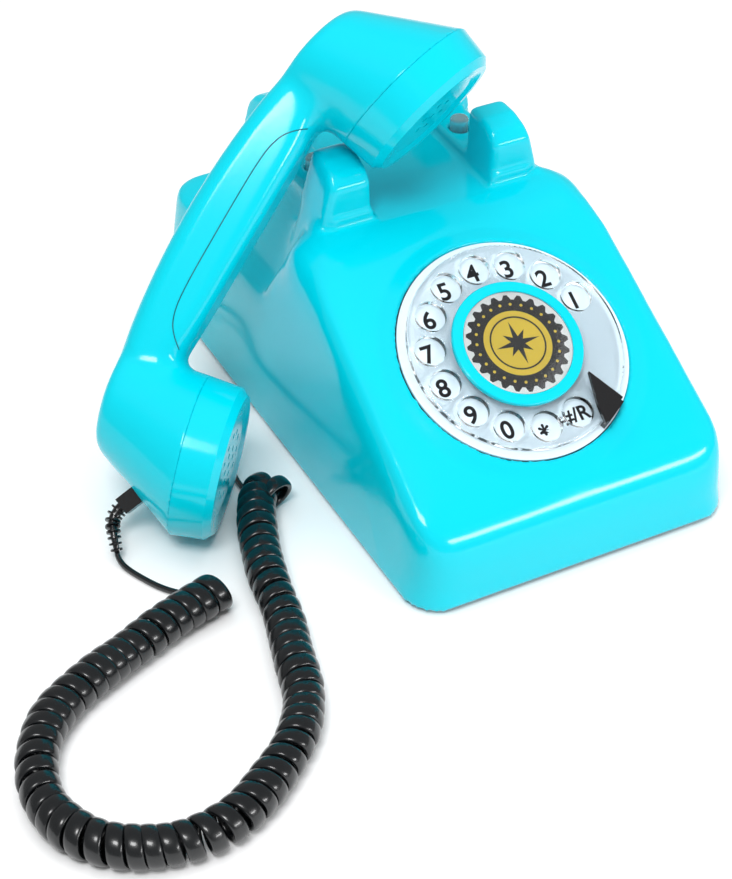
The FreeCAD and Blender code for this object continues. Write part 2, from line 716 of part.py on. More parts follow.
# ---------------------------------------------------------------- handset, in the handset's frame
def cap_place(side):
    """The seam's frame: its middle, with its Z axis pointing back into the cup."""
    turn = FreeCAD.Rotation(V(0, 1, 0), side * CAP_TILT)
    return FreeCAD.Placement(V(side * CAP_SPACING / 2, 0, 1.3), turn)


def arch_radius():
    rise = ARCH_TOP - ARCH_END
    return (ARCH_HALF ** 2 + rise ** 2) / (2 * rise)


def arch_height(x):
    return ARCH_TOP - x ** 2 / (2 * arch_radius())


def arch_cylinder(inset):
    radius = arch_radius() - inset
    middle = V(0, -100, ARCH_TOP - inset - radius)
    cylinder = Part.makeCylinder(radius, 200, middle, V(0, 1, 0))
    cylinder.rotate(middle, V(0, 1, 0), 180)     # keeps the cylinder's own seam line off the handle
    return cylinder


def crown(inset):
    """The handle's arched back with rounded edges: a rounded section swept round the arch's middle."""
    half = GRIP_WIDTH / 2 - inset
    middle = V(0, 0, ARCH_TOP - arch_radius())
    bottom = 2 * middle.z - ARCH_TOP + inset
    wire = rounded_outline([(V(0, half, bottom), GRIP_EDGE_R - inset), (V(0, half, middle.z), 0.0),
                            (V(0, -half, middle.z), 0.0), (V(0, -half, bottom), GRIP_EDGE_R - inset)])
    return Part.Face(wire).revolve(middle, V(0, 1, 0), 360)


def grip(inset):
    """The handle: flat below with rounded edges, arched above, running into both cups."""
    reach = CAP_SPACING / 2
    low = GRIP_UNDER + inset
    half = GRIP_WIDTH / 2 - inset
    corners = [(V(-reach, -half, low), GRIP_EDGE_R - inset), (V(-reach, half, low), GRIP_EDGE_R - inset),
               (V(-reach, half, ARCH_TOP + 5), 0.0), (V(-reach, -half, ARCH_TOP + 5), 0.0)]
    bar = Part.Face(rounded_outline(corners)).extrude(V(2 * reach, 0, 0))
    return bar.common(crown(inset))


def cup(side, inset):
    """The bowl behind a cap: its seam is round, and it narrows and leans in towards the handle's back."""
    seam_place = cap_place(side)
    seam_axis = seam_place.Rotation.multVec(UP)
    back_turn = FreeCAD.Rotation(V(0, 1, 0), side * math.degrees(math.asin(CUP_BACK_X / arch_radius())))
    back_axis = back_turn.multVec(UP)
    back_middle = V(side * CUP_BACK_X, 0, arch_height(CUP_BACK_X) + 2.0)
    seam = Part.Wire(Part.Circle(seam_place.Base, seam_axis, CAP_R - inset).toShape())
    back = Part.Wire(Part.Circle(back_middle, back_axis, CUP_R_BACK - inset).toShape())
    return Part.makeLoft([seam, back], True)


def handset_block(inset):
    arch = arch_cylinder(inset)
    return fuse([cup(-1, inset).common(arch), cup(1, inset).common(arch), grip(inset)])


def grip_strip():
    """The space of the inner shell: the handle's underside between the cups."""
    low = [V(-GRIP_HALF, -40, 0), V(-GRIP_HALF + 3, -40, GRIP_SEAM - 5), V(-GRIP_HALF + 11, -40, GRIP_SEAM),
           V(GRIP_HALF - 11, -40, GRIP_SEAM), V(GRIP_HALF - 3, -40, GRIP_SEAM - 5), V(GRIP_HALF, -40, 0)]
    return prism(low, V(0, 80, 0))


def handset_shells():
    shell = handset_block(0.0).cut(handset_block(SHELL_WALL))
    jack_hole = placed(box(-5.8, 5.8, -5.8, 5.8, -8, 8), mouth_jack_place())
    shell = shell.cut(jack_hole)
    strip = grip_strip()
    back = shell.cut(strip)
    inner = shell.common(strip)
    return back, inner


def cap_solid(side, hole_rings):
    """A screw-on cap: a short cone with a bevelled rim, hollow, with sound holes in its face."""
    rim_r = CAP_R - 1.2
    outer = fuse([Part.makeCone(rim_r, CAP_R, CAP_DEPTH - CAP_CHAMFER, V(0, 0, -CAP_DEPTH + CAP_CHAMFER)),
                  Part.makeCone(rim_r - CAP_CHAMFER, rim_r, CAP_CHAMFER, V(0, 0, -CAP_DEPTH))])
    inner_r = rim_r - CAP_CHAMFER - 1.0
    shape = outer.cut(disc(inner_r, -CAP_DEPTH + 2.2, 1))
    dish = Part.makeCone(rim_r - CAP_CHAMFER - 2.5, rim_r - CAP_CHAMFER - 7.0, 0.9, V(0, 0, -CAP_DEPTH))
    holes = [dish]
    for radius, count in hole_rings:
        for i in range(count):
            at = polar(radius, 360.0 * i / count)
            holes.append(disc(1.2, -CAP_DEPTH - 1, -CAP_DEPTH + 4, at.x, at.y))
    return placed(cut(shape, holes), cap_place(side))


def capsule(side, radius, depth):
    """The speaker or the microphone, seated in its cap."""
    body = disc(radius, -CAP_DEPTH + 2.4, -CAP_DEPTH + 2.4 + depth)
    magnet = disc(radius * 0.5, -CAP_DEPTH + 2.4 + depth, -CAP_DEPTH + 5.4 + depth)
    return placed(fuse([body, magnet]), cap_place(side))


def handset_weight():
    return rounded_plate(-34, 34, -6, 6, 2, GRIP_UNDER + SHELL_WALL + 0.2, GRIP_UNDER + SHELL_WALL + 7)


def handset_screws():
    screws = []
    for x in (-40.0, 40.0):
        screws.append(disc(1.2, GRIP_UNDER + 1.0, GRIP_UNDER + 6, x, 0))
    return screws


def mouth_jack_place():
    """Frame at the end of the mouth cup, its Z axis pointing out of the cup."""
    turn = FreeCAD.Rotation(V(0, 1, 0), 68.0)
    return FreeCAD.Placement(V(CAP_SPACING / 2 + CAP_R - 7.0, 0, 11.0), turn)


def handset_jack_block():
    block = box(-5.6, 5.6, -5.6, 5.6, -12, -1.6)
    return placed(block.cut(box(-3.4, 3.4, -4.0, 4.0, -9, 0)), mouth_jack_place())


# ---------------------------------------------------------------- cords
def handset_plug():
    plug = box(-3.2, 3.2, -3.8, 3.8, -8.5, 6.5)
    return on_handset(placed(plug, mouth_jack_place()))


def plug_mouth():
    return HANDSET.multVec(mouth_jack_place().multVec(V(0, 0, 6.5)))


def beside(x, y, z):
    """A point in the base's frame, with x counted from the foot of its left side."""
    return V(x - BASE_WIDTH / 2, y, z)


def plug_boot():
    """Ribbed strain relief from the plug down to the table."""
    start = plug_mouth()
    along = beside(-79.2, -19.6, 4.0) - start
    core = Part.makeCone(3.0, 1.8, along.Length, start, along)
    ribs = []
    for i in range(BOOT_RINGS):
        at = start + along * ((i + 0.7) / (BOOT_RINGS + 0.4))
        radius = 3.6 - 0.16 * i
        ribs.append(Part.makeCylinder(radius, 0.9, at, along))
    return core.multiFuse(ribs).removeSplitter()


def smooth_path(points):
    """Straight runs joined by tangent arcs, each as large as its two runs allow."""
    edges = []
    at = points[0]
    for i in range(1, len(points) - 1):
        before = points[i - 1] - points[i]
        after = points[i + 1] - points[i]
        shorter = min(before.Length, after.Length)
        before.normalize()
        after.normalize()
        half = before.getAngle(after) / 2
        radius = 0.45 * shorter * math.tan(half)
        start = points[i] + before * (0.45 * shorter)
        end = points[i] + after * (0.45 * shorter)
        middle = (before + after).normalize()
        mid = points[i] + middle * (radius / math.sin(half) - radius)
        edges.append(Part.LineSegment(at, start).toShape())
        edges.append(Part.Arc(start, mid, end).toShape())
        at = end
    edges.append(Part.LineSegment(at, points[-1]).toShape())
    return Part.Wire(edges)


def cord_tube(name, points, diameter):
    path = smooth_path(points)
    first = points[1] - points[0]
    section = Part.Wire(Part.Circle(points[0], first, diameter / 2).toShape())
    solid = path.makePipeShell([section], True, False)
    print("%s length %.1f" % (name, path.Length))
    return solid


HANDSET_LEAD = [beside(-79.8, -21.0, LEAD_Z + 1.2), beside(-79.0, -25.5, LEAD_Z + 0.1),
                beside(-76.2, -32.5, LEAD_Z), beside(-72.0, -41.0, LEAD_Z), beside(-66.5, -47.5, LEAD_Z),
                beside(-60.0, -51.5, LEAD_Z)]

COIL = [beside(-56.0, -57.0, COIL_Z), beside(-75.0, -61.8, COIL_Z), beside(-95.0, -70.2, COIL_Z),
        beside(-115.0, -77.6, COIL_Z), beside(-132.5, -88.0, COIL_Z), beside(-143.0, -104.0, COIL_Z),
        beside(-147.0, -122.0, COIL_Z), beside(-142.0, -139.0, COIL_Z), beside(-130.5, -150.5, COIL_Z),
        beside(-113.0, -156.6, COIL_Z), beside(-95.0, -154.4, COIL_Z), beside(-79.0, -144.6, COIL_Z),
        beside(-63.5, -132.5, COIL_Z), beside(-53.0, -117.0, COIL_Z), beside(-48.5, -98.0, COIL_Z),
        beside(-42.5, -79.0, COIL_Z), beside(-39.5, -60.0, COIL_Z), beside(-34.0, -41.0, COIL_Z),
        beside(-26.5, -24.0, COIL_Z)]

BASE_LEAD = [beside(-26.5, -24.0, LEAD_Z), beside(-23.2, -16.5, LEAD_Z), beside(-21.6, -8.0, LEAD_Z),
             beside(-21.4, 3.0, LEAD_Z), beside(-19.0, 15.0, LEAD_Z), beside(-17.5, 28.0, LEAD_Z),
             beside(-14.5, 43.0, LEAD_Z), beside(-14.5, 60.0, LEAD_Z),
             beside(-18.0, JACK_Y - 31.0, LEAD_Z + 0.4), beside(-21.0, JACK_Y - 17.5, 4.6),
             beside(-15.5, JACK_Y - 5.5, 7.2), beside(-4.5, JACK_Y, JACK_Z)]


def base_plug():
    origin = handset_jack_origin()
    wide, tall, deep = SOCKET
    inner = origin.x + deep - 1.0
    body = box(origin.x - 3.5, inner, JACK_Y - wide / 2 + 0.2, JACK_Y + wide / 2 - 0.2,
               JACK_Z - tall / 2 + 0.2, JACK_Z + tall / 2 - 0.2)
    sleeve = box(BASE_LEAD[-1].x - 0.6, origin.x - 3.5, JACK_Y - 3.0, JACK_Y + 3.0,
                 JACK_Z - 2.6, JACK_Z + 2.6)
    return fuse([body, sleeve])


# ---------------------------------------------------------------- all nodes
def build():
    back_shell, inner_shell = handset_shells()
    gear = drive_gear()
    left_plunger, right_plunger = hook_plungers()
    screw_holes = [disc(1.2, GRIP_UNDER - 1, GRIP_UNDER + 4, x, 0) for x in (-40.0, 40.0)]
    inner_shell = cut(inner_shell, screw_holes)
    return {
        "housing": housing(),
        "base_plate": base_plate(),
        "rubber_feet": rubber_feet(),
        "base_screws": base_screws(),
        "ballast_weight": ballast_weight(),
        "main_board": main_board(),
        "dial_frame": on_dial(dial_frame()),
        "number_plate": on_dial(number_plate()),
        "finger_stop": on_dial(finger_stop()),
        "finger_wheel": on_dial(finger_wheel()),
        "hub_ring": on_dial(hub_ring()),
        "number_card": on_dial(number_card()),
        "card_lens": on_dial(card_lens()),
        "dial_shaft": on_dial(dial_shaft()),
        "drive_gear": on_dial(gear),
        "dial_spring": on_dial(dial_spring()),
        "governor_rotor": on_dial(governor_rotor()),
        "governor_cup": on_dial(governor_cup()),
        "plunger_left": left_plunger,
        "plunger_right": right_plunger,
        "hook_crossbar": hook_crossbar(),
        "hook_bracket": hook_bracket(),
        "hook_spring": hook_spring(),
        "hook_switch": hook_switch(),
        "ringer_frame": ringer_frame(),
        "ringer_coil": ringer_coil(),
        "gong_left": gong(-GONG_X),
        "gong_right": gong(GONG_X),
        "gong_screws": gong_screws(),
        "clapper": clapper(),
        "line_jack": socket_block(line_jack_origin(), V(0, 1, 0), V(1, 0, 0)),
        "handset_jack": socket_block(handset_jack_origin(), V(-1, 0, 0), V(0, 1, 0)),
        "ringer_switch_body": ringer_switch_body(),
        "ringer_switch_knob": ringer_switch_knob(),
        "handset_back_shell": on_handset(back_shell),
        "handset_inner_shell": on_handset(inner_shell),
        "ear_cap": on_handset(cap_solid(-1, [(0.1, 1), (7.0, 6)])),
        "mouth_cap": on_handset(cap_solid(1, [(0.1, 1), (6.0, 6), (12.0, 12)])),
        "speaker": on_handset(capsule(-1, CAP_R - 9.0, 6.0)),
        "microphone": on_handset(capsule(1, CAP_R - 15.0, 5.0)),
        "handset_weight": on_handset(handset_weight()),
        "handset_screws": [on_handset(screw) for screw in handset_screws()],
        "handset_socket": on_handset(handset_jack_block()),
        "handset_plug": handset_plug(),
        "plug_boot": plug_boot(),
        "handset_lead": cord_tube("handset_lead", HANDSET_LEAD, LEAD_D),
        "cord_coil": cord_tube("cord_coil", COIL, COIL_D),
        "base_lead": cord_tube("base_lead", BASE_LEAD, LEAD_D),
        "base_plug": base_plug(),
    }


def main():
    os.makedirs("parts", exist_ok=True)
    for name, made in build().items():
        solids = made if isinstance(made, list) else made.Solids
        shape = solids[0] if len(solids) == 1 else Part.makeCompound(solids)
        shape.translate(BASE_PLACE)
        box_of = shape.BoundBox
        good = shape.isValid() and all(s.isClosed() for s in shape.Solids)
        print("%-20s solids %d valid %s vol %9.1f z %.1f to %.1f" % (
            name, len(shape.Solids), good, shape.Volume, box_of.ZMin, box_of.ZMax))
        shape.exportStep("parts/%s.step" % name)


main()
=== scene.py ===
"""Compact rotary desk telephone with its handset off the hook: the looks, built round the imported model.

Laid out as an add-on. Each operator makes one piece or one group of like pieces, in metres, in the model's
own frame: X to the right, Y from the front to the back, Z up, with the table at z = 0.
"""
import json
import math

import bmesh
import bpy
import numpy as np
from bpy.props import FloatProperty, FloatVectorProperty, IntProperty, PointerProperty
from mathutils import Euler, Matrix, Vector
from mathutils.bvhtree import BVHTree


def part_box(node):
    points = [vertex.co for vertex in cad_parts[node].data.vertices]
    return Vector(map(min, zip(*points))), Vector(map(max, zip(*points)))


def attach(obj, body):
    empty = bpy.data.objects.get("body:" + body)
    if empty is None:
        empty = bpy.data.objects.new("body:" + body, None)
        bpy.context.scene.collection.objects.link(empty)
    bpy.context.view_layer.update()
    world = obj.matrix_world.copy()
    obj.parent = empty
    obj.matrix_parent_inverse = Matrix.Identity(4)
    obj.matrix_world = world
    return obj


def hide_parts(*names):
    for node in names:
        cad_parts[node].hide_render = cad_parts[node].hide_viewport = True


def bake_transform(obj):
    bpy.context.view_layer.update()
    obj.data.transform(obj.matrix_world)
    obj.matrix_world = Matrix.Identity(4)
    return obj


bl_info = {
    "name": "Rotary Desk Telephone",
    "version": (1, 0, 0),
    "blender": (4, 5, 0),
    "location": "View3D > Sidebar > Telephone",
    "description": "Builds the shell, dial, handset and coiled cord of a rotary desk telephone",
    "category": "Add Mesh",
}

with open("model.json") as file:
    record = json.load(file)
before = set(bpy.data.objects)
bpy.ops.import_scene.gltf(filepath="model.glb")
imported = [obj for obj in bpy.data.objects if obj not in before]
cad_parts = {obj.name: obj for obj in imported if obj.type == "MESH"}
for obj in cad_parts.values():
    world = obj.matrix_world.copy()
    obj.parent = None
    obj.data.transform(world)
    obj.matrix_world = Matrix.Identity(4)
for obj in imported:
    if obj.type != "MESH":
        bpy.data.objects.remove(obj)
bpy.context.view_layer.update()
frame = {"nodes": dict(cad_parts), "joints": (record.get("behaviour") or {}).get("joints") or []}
MM = 0.001
NODES = frame["nodes"]
JOINTS = {joint["name"]: joint for joint in frame["joints"]}

# the base's own frame: on its plane of symmetry, this far behind its front, on the table
ORIGIN_BEHIND_FRONT = 98.0 * MM
HOUSING_LOW, HOUSING_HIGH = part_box("housing")
BASE_ORIGIN = Vector(((HOUSING_LOW.x + HOUSING_HIGH.x) / 2, HOUSING_LOW.y + ORIGIN_BEHIND_FRONT, 0.0))

# the dial's frame: right, up the slope, and out of the face
DIAL_MIDDLE = Vector(JOINTS["dial_turn"]["pos_m"])
DIAL_OUT = Vector(JOINTS["dial_turn"]["axis"]).normalized()
DIAL_RIGHT = Vector((1, 0, 0))
DIAL_UP = DIAL_OUT.cross(DIAL_RIGHT)
DIAL_FRAME = Matrix.Translation(DIAL_MIDDLE) @ Matrix((DIAL_RIGHT, DIAL_UP, DIAL_OUT)).transposed().to_4x4()

# the handset's frame: from the ear to the mouth, across, and out to its back
HANDSET_FRAME = (Matrix.Translation(BASE_ORIGIN + Vector((-0.0586, 0.0050, 0.0809)))
                 @ Euler([math.radians(turn) for turn in (61.05, 43.8, -161.3)], "XYZ").to_matrix().to_4x4())
CAP_TILT = math.radians(16.0)
CAP_MIDDLE_X = 75.0                     # middle of a cap's seam in the handset's frame, in millimetres
CAP_MIDDLE_Z = 1.3

# the socket in the mouth cup's end; and the foot of its strain relief, in millimetres in the base's frame
MOUTH_SOCKET = (HANDSET_FRAME @ Matrix.Translation((0.097, 0, 0.011))
                @ Matrix.Rotation(math.radians(68.0), 4, "Y"))
BOOT_END = (-144.2, -19.6, 4.0)

# in degrees: the dial's first hole from the dial's right, and each hole from the one before
FIRST_HOLE = 20.0
HOLE_STEP = 24.4

CAMERA_FROM_BASE = Vector((-0.3529, -0.5972, 0.5485))
CAMERA_RIGHT = Vector((0.8859, -0.4637, 0.0091))
CAMERA_AHEAD = Vector((0.3655, 0.6859, -0.6293))


# ---------------------------------------------------------------- settings
class PhoneShellSettings(bpy.types.PropertyGroup):
    """Colour and softness of the moulded shells."""
    colour: FloatVectorProperty(name="Shell colour", description="Colour of the moulded shell", size=3,
                                subtype="COLOR", min=0, max=1, default=(0.0, 0.57, 0.69))
    grain: FloatProperty(name="Shell voxel", description="Size of the cells that the base shell is made from",
                         subtype="DISTANCE", unit="LENGTH", default=0.0010, min=0.0005, max=0.003)
    handset_grain: FloatProperty(name="Handset voxel", description="Size of the cells of the handset's shell",
                                 subtype="DISTANCE", unit="LENGTH", default=0.0006, min=0.0003, max=0.002)


class PhoneDialSettings(bpy.types.PropertyGroup):
    """Sizes and colours of the dial's print."""
    digit_height: FloatProperty(name="Digit height", description="Height of the digits on the number plate",
                                subtype="DISTANCE", unit="LENGTH", default=0.0068, min=0.002, max=0.01)
    ring_radius: FloatProperty(name="Digit ring", description="Radius of the ring that the digits stand on",
                               subtype="DISTANCE", unit="LENGTH", default=0.032, min=0.02, max=0.04)
    ink: FloatVectorProperty(name="Ink", description="Colour of the printed digits", size=3,
                             subtype="COLOR", min=0, max=1, default=(0.006, 0.006, 0.008))
    plate: FloatVectorProperty(name="Number plate", description="Colour of the plate under the wheel", size=3,
                               subtype="COLOR", min=0, max=1, default=(0.70, 0.84, 0.93))
    badge: FloatVectorProperty(name="Badge", description="Colour of the badge's middle", size=3,
                               subtype="COLOR", min=0, max=1, default=(0.86, 0.62, 0.05))


class PhoneCordSettings(bpy.types.PropertyGroup):
    """Sizes and colour of the coiled cord."""
    width: FloatProperty(name="Cord width", description="Width of the flat cord", subtype="DISTANCE",
                         unit="LENGTH", default=0.0057, min=0.002, max=0.008)
    thickness: FloatProperty(name="Cord thickness", description="Thickness of the flat cord",
                             subtype="DISTANCE", unit="LENGTH", default=0.0024, min=0.001, max=0.005)
    coil_radius: FloatProperty(name="Coil radius", description="Radius of the turns at the cord's middle",
                               subtype="DISTANCE", unit="LENGTH", default=0.0061, min=0.003, max=0.01)
    turns: IntProperty(name="Turns", description="Number of turns in the coil", default=60, min=10, max=90)
    colour: FloatVectorProperty(name="Cord colour", description="Colour of the cord's jacket", size=3,
                                subtype="COLOR", min=0, max=1, default=(0.004, 0.005, 0.006))


class PhoneStageSettings(bpy.types.PropertyGroup):
    """The floor, the lights and the camera."""
    floor: FloatVectorProperty(name="Floor", description="Colour of the floor", size=3, subtype="COLOR",
                               min=0, max=1, default=(0.93, 0.935, 0.94))
    key: FloatProperty(name="Key light", description="Power of the softbox above", subtype="POWER",
                       unit="POWER", default=14.0, min=0, max=500)
    lens: FloatProperty(name="Focal length", description="Focal length of the camera, in millimetres",
                        default=94.54, min=20, max=300)


# ---------------------------------------------------------------- node groups shared by the materials
def new_group(name, inputs, outputs):
    """An empty shader group; inputs are given as (name, default) and outputs as (name, type)."""
    group = bpy.data.node_groups.new(name, "ShaderNodeTree")
    for label, default in inputs:
        socket = group.interface.new_socket(name=label, in_out="INPUT", socket_type="NodeSocketFloat")
        socket.default_value = default
    for label, kind in outputs:
        group.interface.new_socket(name=label, in_out="OUTPUT", socket_type=kind)
    return group, group.nodes.new("NodeGroupInput"), group.nodes.new("NodeGroupOutput")


def math_node(tree, operation, first, second):
    node = tree.nodes.new("ShaderNodeMath")
    node.operation = operation
    for slot, value in enumerate((first, second)):
        if isinstance(value, (int, float)):
            node.inputs[slot].default_value = value
        else:
            tree.links.new(value, node.inputs[slot])
    return node.outputs[0]


def noise_node(tree, scale, detail, vector):
    node = tree.nodes.new("ShaderNodeTexNoise")
    node.inputs["Detail"].default_value = detail
    tree.links.new(vector, node.inputs["Vector"])
    if isinstance(scale, (int, float)):
        node.inputs["Scale"].default_value = scale
    else:
        tree.links.new(scale, node.inputs["Scale"])
    return node.outputs["Fac"]


def moulded_surface_group():
    """Moulded plastic: slow patches of handling gloss over the fine ripple of the mould."""
    group, given, result = new_group(
        "Moulded surface", [("Gloss", 0.1), ("Patches", 0.05), ("Grain scale", 900.0), ("Tint", 0.04)],
        [("Roughness", "NodeSocketFloat"), ("Height", "NodeSocketFloat"), ("Shade", "NodeSocketFloat")])
    place = group.nodes.new("ShaderNodeTexCoord").outputs["Object"]
    slow = noise_node(group, 28.0, 3.0, place)
    fine = noise_node(group, given.outputs["Grain scale"], 2.0, place)
    swing = math_node(group, "MULTIPLY", math_node(group, "SUBTRACT", slow, 0.5), given.outputs["Patches"])
    group.links.new(math_node(group, "ADD", given.outputs["Gloss"], swing), result.inputs["Roughness"])
    group.links.new(math_node(group, "ADD", math_node(group, "MULTIPLY", slow, 0.6), fine),
                    result.inputs["Height"])
    drift = math_node(group, "MULTIPLY", noise_node(group, 9.0, 1.0, place), given.outputs["Tint"])
    group.links.new(drift, result.inputs["Shade"])
    return group


def rolled_metal_group():
    """Plated or rolled metal: streaks one way, and specks of dull plating."""
    group, given, result = new_group(
        "Rolled metal", [("Gloss", 0.3), ("Streak", 0.15), ("Specks", 0.3)],
        [("Roughness", "NodeSocketFloat"), ("Height", "NodeSocketFloat"), ("Specks", "NodeSocketFloat")])
    place = group.nodes.new("ShaderNodeTexCoord").outputs["Object"]
    stretch = group.nodes.new("ShaderNodeMapping")
    stretch.inputs["Scale"].default_value = (40.0, 1500.0, 1500.0)
    group.links.new(place, stretch.inputs["Vector"])
    streak = noise_node(group, 1.0, 2.0, stretch.outputs["Vector"])
    specks = math_node(group, "GREATER_THAN", noise_node(group, 700.0, 1.0, place), 0.66)
    swing = math_node(group, "MULTIPLY", streak, given.outputs["Streak"])
    group.links.new(math_node(group, "ADD", given.outputs["Gloss"], swing), result.inputs["Roughness"])
    group.links.new(streak, result.inputs["Height"])
    group.links.new(math_node(group, "MULTIPLY", specks, given.outputs["Specks"]), result.inputs["Specks"])
    return group


GROUPS = {}


def shared_group(name):
    makers = {"moulded": moulded_surface_group, "metal": rolled_metal_group}
    if name not in GROUPS:
        GROUPS[name] = makers[name]()
    return GROUPS[name]


# ---------------------------------------------------------------- materials
def surfaced(name, group, inputs, colours, factor, strength, depth):
    """A material whose gloss, shade between two colours, and ripple come from a shared group."""
    material = bpy.data.materials.new(name)
    material.use_nodes = True
    tree = material.node_tree
    shader = tree.nodes["Principled BSDF"]
    surface = tree.nodes.new("ShaderNodeGroup")
    surface.node_tree = shared_group(group)
    for label, value in inputs.items():
        surface.inputs[label].default_value = value
    shade = tree.nodes.new("ShaderNodeMix")
    shade.data_type = "RGBA"
    for label, colour in zip("AB", colours):
        shade.inputs[label].default_value = (*colour, 1)
    ripple = tree.nodes.new("ShaderNodeBump")
    ripple.inputs["Strength"].default_value = strength
    ripple.inputs["Distance"].default_value = depth
    tree.links.new(surface.outputs[factor], shade.inputs["Factor"])
    tree.links.new(shade.outputs["Result"], shader.inputs["Base Color"])
    tree.links.new(surface.outputs["Roughness"], shader.inputs["Roughness"])
    tree.links.new(surface.outputs["Height"], ripple.inputs["Height"])
    tree.links.new(ripple.outputs["Normal"], shader.inputs["Normal"])
    return material, shader


def moulded_plastic(name, colour, gloss=0.1, patches=0.05, coat=0.0, grain=900.0, bump=0.00002, tint=0.06,
                    **sockets):
    """A plastic whose gloss, shade and fine ripple vary over the surface. Extra values go to the shader."""
    material, shader = surfaced(
        name, "moulded", {"Gloss": gloss, "Patches": patches, "Grain scale": grain, "Tint": tint},
        (colour, [channel * 0.6 for channel in colour]), "Shade", 0.35, bump)
    shader.inputs["Coat Weight"].default_value = coat
    shader.inputs["Coat Roughness"].default_value = 0.03
    for label, value in sockets.items():
        shader.inputs[label.replace("_", " ")].default_value = value
    return material


def worked_metal(name, colour, dull, gloss=0.28):
    """A plated or rolled metal, with dull specks."""
    material, shader = surfaced(name, "metal", {"Gloss": gloss, "Streak": 0.15, "Specks": 0.3},
                                (colour, dull), "Specks", 0.3, 0.00003)
    shader.inputs["Metallic"].default_value = 1.0
    return material


MATERIALS = {}


def finish_of(name):
    """The material of that name, made the first time that a piece asks for it."""
    if name in MATERIALS:
        return MATERIALS[name]
    scene = bpy.context.scene
    makers = {
        "turquoise shell": lambda: moulded_plastic(
            name, scene.phone_shell.colour, gloss=0.12, bump=0.00003, Specular_IOR_Level=0.34),
        "clear wheel": lambda: moulded_plastic(
            name, (0.97, 0.99, 1.0), gloss=0.03, patches=0.02, tint=0.0, IOR=1.47, Transmission_Weight=1.0),
        "seam shadow": lambda: moulded_plastic(name, (0.0, 0.10, 0.13), gloss=0.5, tint=0.02),
        "number plate": lambda: moulded_plastic(name, scene.phone_dial.plate, gloss=0.25),
        "digit ink": lambda: moulded_plastic(name, scene.phone_dial.ink, gloss=0.35),
        "badge paper": lambda: moulded_plastic(name, (0.9, 0.9, 0.88), gloss=0.4, bump=0.00004),
        "badge gold": lambda: moulded_plastic(name, scene.phone_dial.badge, gloss=0.35, tint=0.5),
        "black trim": lambda: moulded_plastic(name, (0.008, 0.008, 0.009), gloss=0.2, coat=0.3),
        "cord jacket": lambda: moulded_plastic(
            name, scene.phone_cord.colour, gloss=0.27, patches=0.15, coat=0.25, grain=1600.0, bump=0.00006),
        "clear button": lambda: moulded_plastic(
            name, (0.55, 0.90, 0.95), gloss=0.08, tint=0.0, IOR=1.47, Transmission_Weight=0.7),
        "black moulding": lambda: moulded_plastic(
            name, (0.02, 0.02, 0.022), gloss=0.45, patches=0.1, grain=1400.0, bump=0.0001),
        "rubber": lambda: moulded_plastic(
            name, (0.018, 0.018, 0.02), gloss=0.75, patches=0.1, grain=2000.0, bump=0.0002),
        "circuit board": lambda: moulded_plastic(name, (0.22, 0.13, 0.04), gloss=0.5, tint=0.4),
        "zinc plate": lambda: worked_metal(name, (0.62, 0.63, 0.65), (0.40, 0.41, 0.42)),
        "brass": lambda: worked_metal(name, (0.72, 0.53, 0.22), (0.42, 0.30, 0.14), gloss=0.2),
        "painted iron": lambda: worked_metal(name, (0.12, 0.12, 0.13), (0.07, 0.07, 0.07), gloss=0.5),
    }
    MATERIALS[name] = makers[name]()
    return MATERIALS[name]


NODE_FINISHES = {
    "base_plate": "zinc plate", "rubber_feet": "rubber", "base_screws": "zinc plate",
    "ballast_weight": "painted iron", "main_board": "circuit board", "dial_frame": "black moulding",
    "number_plate": "number plate", "finger_stop": "black trim", "finger_wheel": "clear wheel",
    "hub_ring": "turquoise shell", "number_card": "badge paper", "dial_shaft": "zinc plate",
    "drive_gear": "brass", "dial_spring": "zinc plate", "governor_rotor": "brass", "governor_cup": "brass",
    "plunger_left": "clear button", "plunger_right": "clear button", "hook_crossbar": "black moulding",
    "hook_bracket": "zinc plate", "hook_spring": "zinc plate", "hook_switch": "black moulding",
    "ringer_frame": "zinc plate", "ringer_coil": "black moulding", "gong_left": "brass",
    "gong_right": "brass", "gong_screws": "zinc plate", "clapper": "zinc plate",
    "line_jack": "black moulding", "handset_jack": "black moulding", "ringer_switch_body": "black moulding",
    "ringer_switch_knob": "black trim", "ear_cap": "turquoise shell", "mouth_cap": "turquoise shell",
    "speaker": "black moulding", "microphone": "black moulding", "handset_weight": "painted iron",
    "handset_screws": "zinc plate", "handset_socket": "black moulding", "handset_plug": "black trim",
    "base_plug": "black trim",
}


# ---------------------------------------------------------------- mesh helpers
def new_piece(name, mesh, body, finish):
    """Adds a mesh to the scene as a piece that rides on a body."""
    piece = bpy.data.objects.new(name, mesh)
    bpy.context.scene.collection.objects.link(piece)
    mesh.materials.clear()
    mesh.materials.append(finish_of(finish))
    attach(piece, body)
    return piece


def mesh_of(name, vertices, faces, smooth=True):
    mesh = bpy.data.meshes.new(name)
    mesh.from_pydata([tuple(v) for v in vertices], [], faces)
    mesh.validate()
    mesh.polygons.foreach_set("use_smooth", [smooth] * len(mesh.polygons))
    mesh.update()
    return mesh


def mesh_from(made, name):
    """Turns a bmesh into a mesh, and frees it."""
    mesh = bpy.data.meshes.new(name)
    made.to_mesh(mesh)
    made.free()
    return mesh


def on_base(point):
    """A point given in millimetres in the base's own frame."""
    return BASE_ORIGIN + Vector(point) * MM


def full_turn(count):
    return [2 * math.pi * i / count for i in range(count)]


def sharpen(mesh, degrees):
    """Smooth shading that breaks at edges sharper than this."""
    mesh.polygons.foreach_set("use_smooth", [True] * len(mesh.polygons))
    mesh.set_sharp_from_angle(angle=math.radians(degrees))
    return mesh


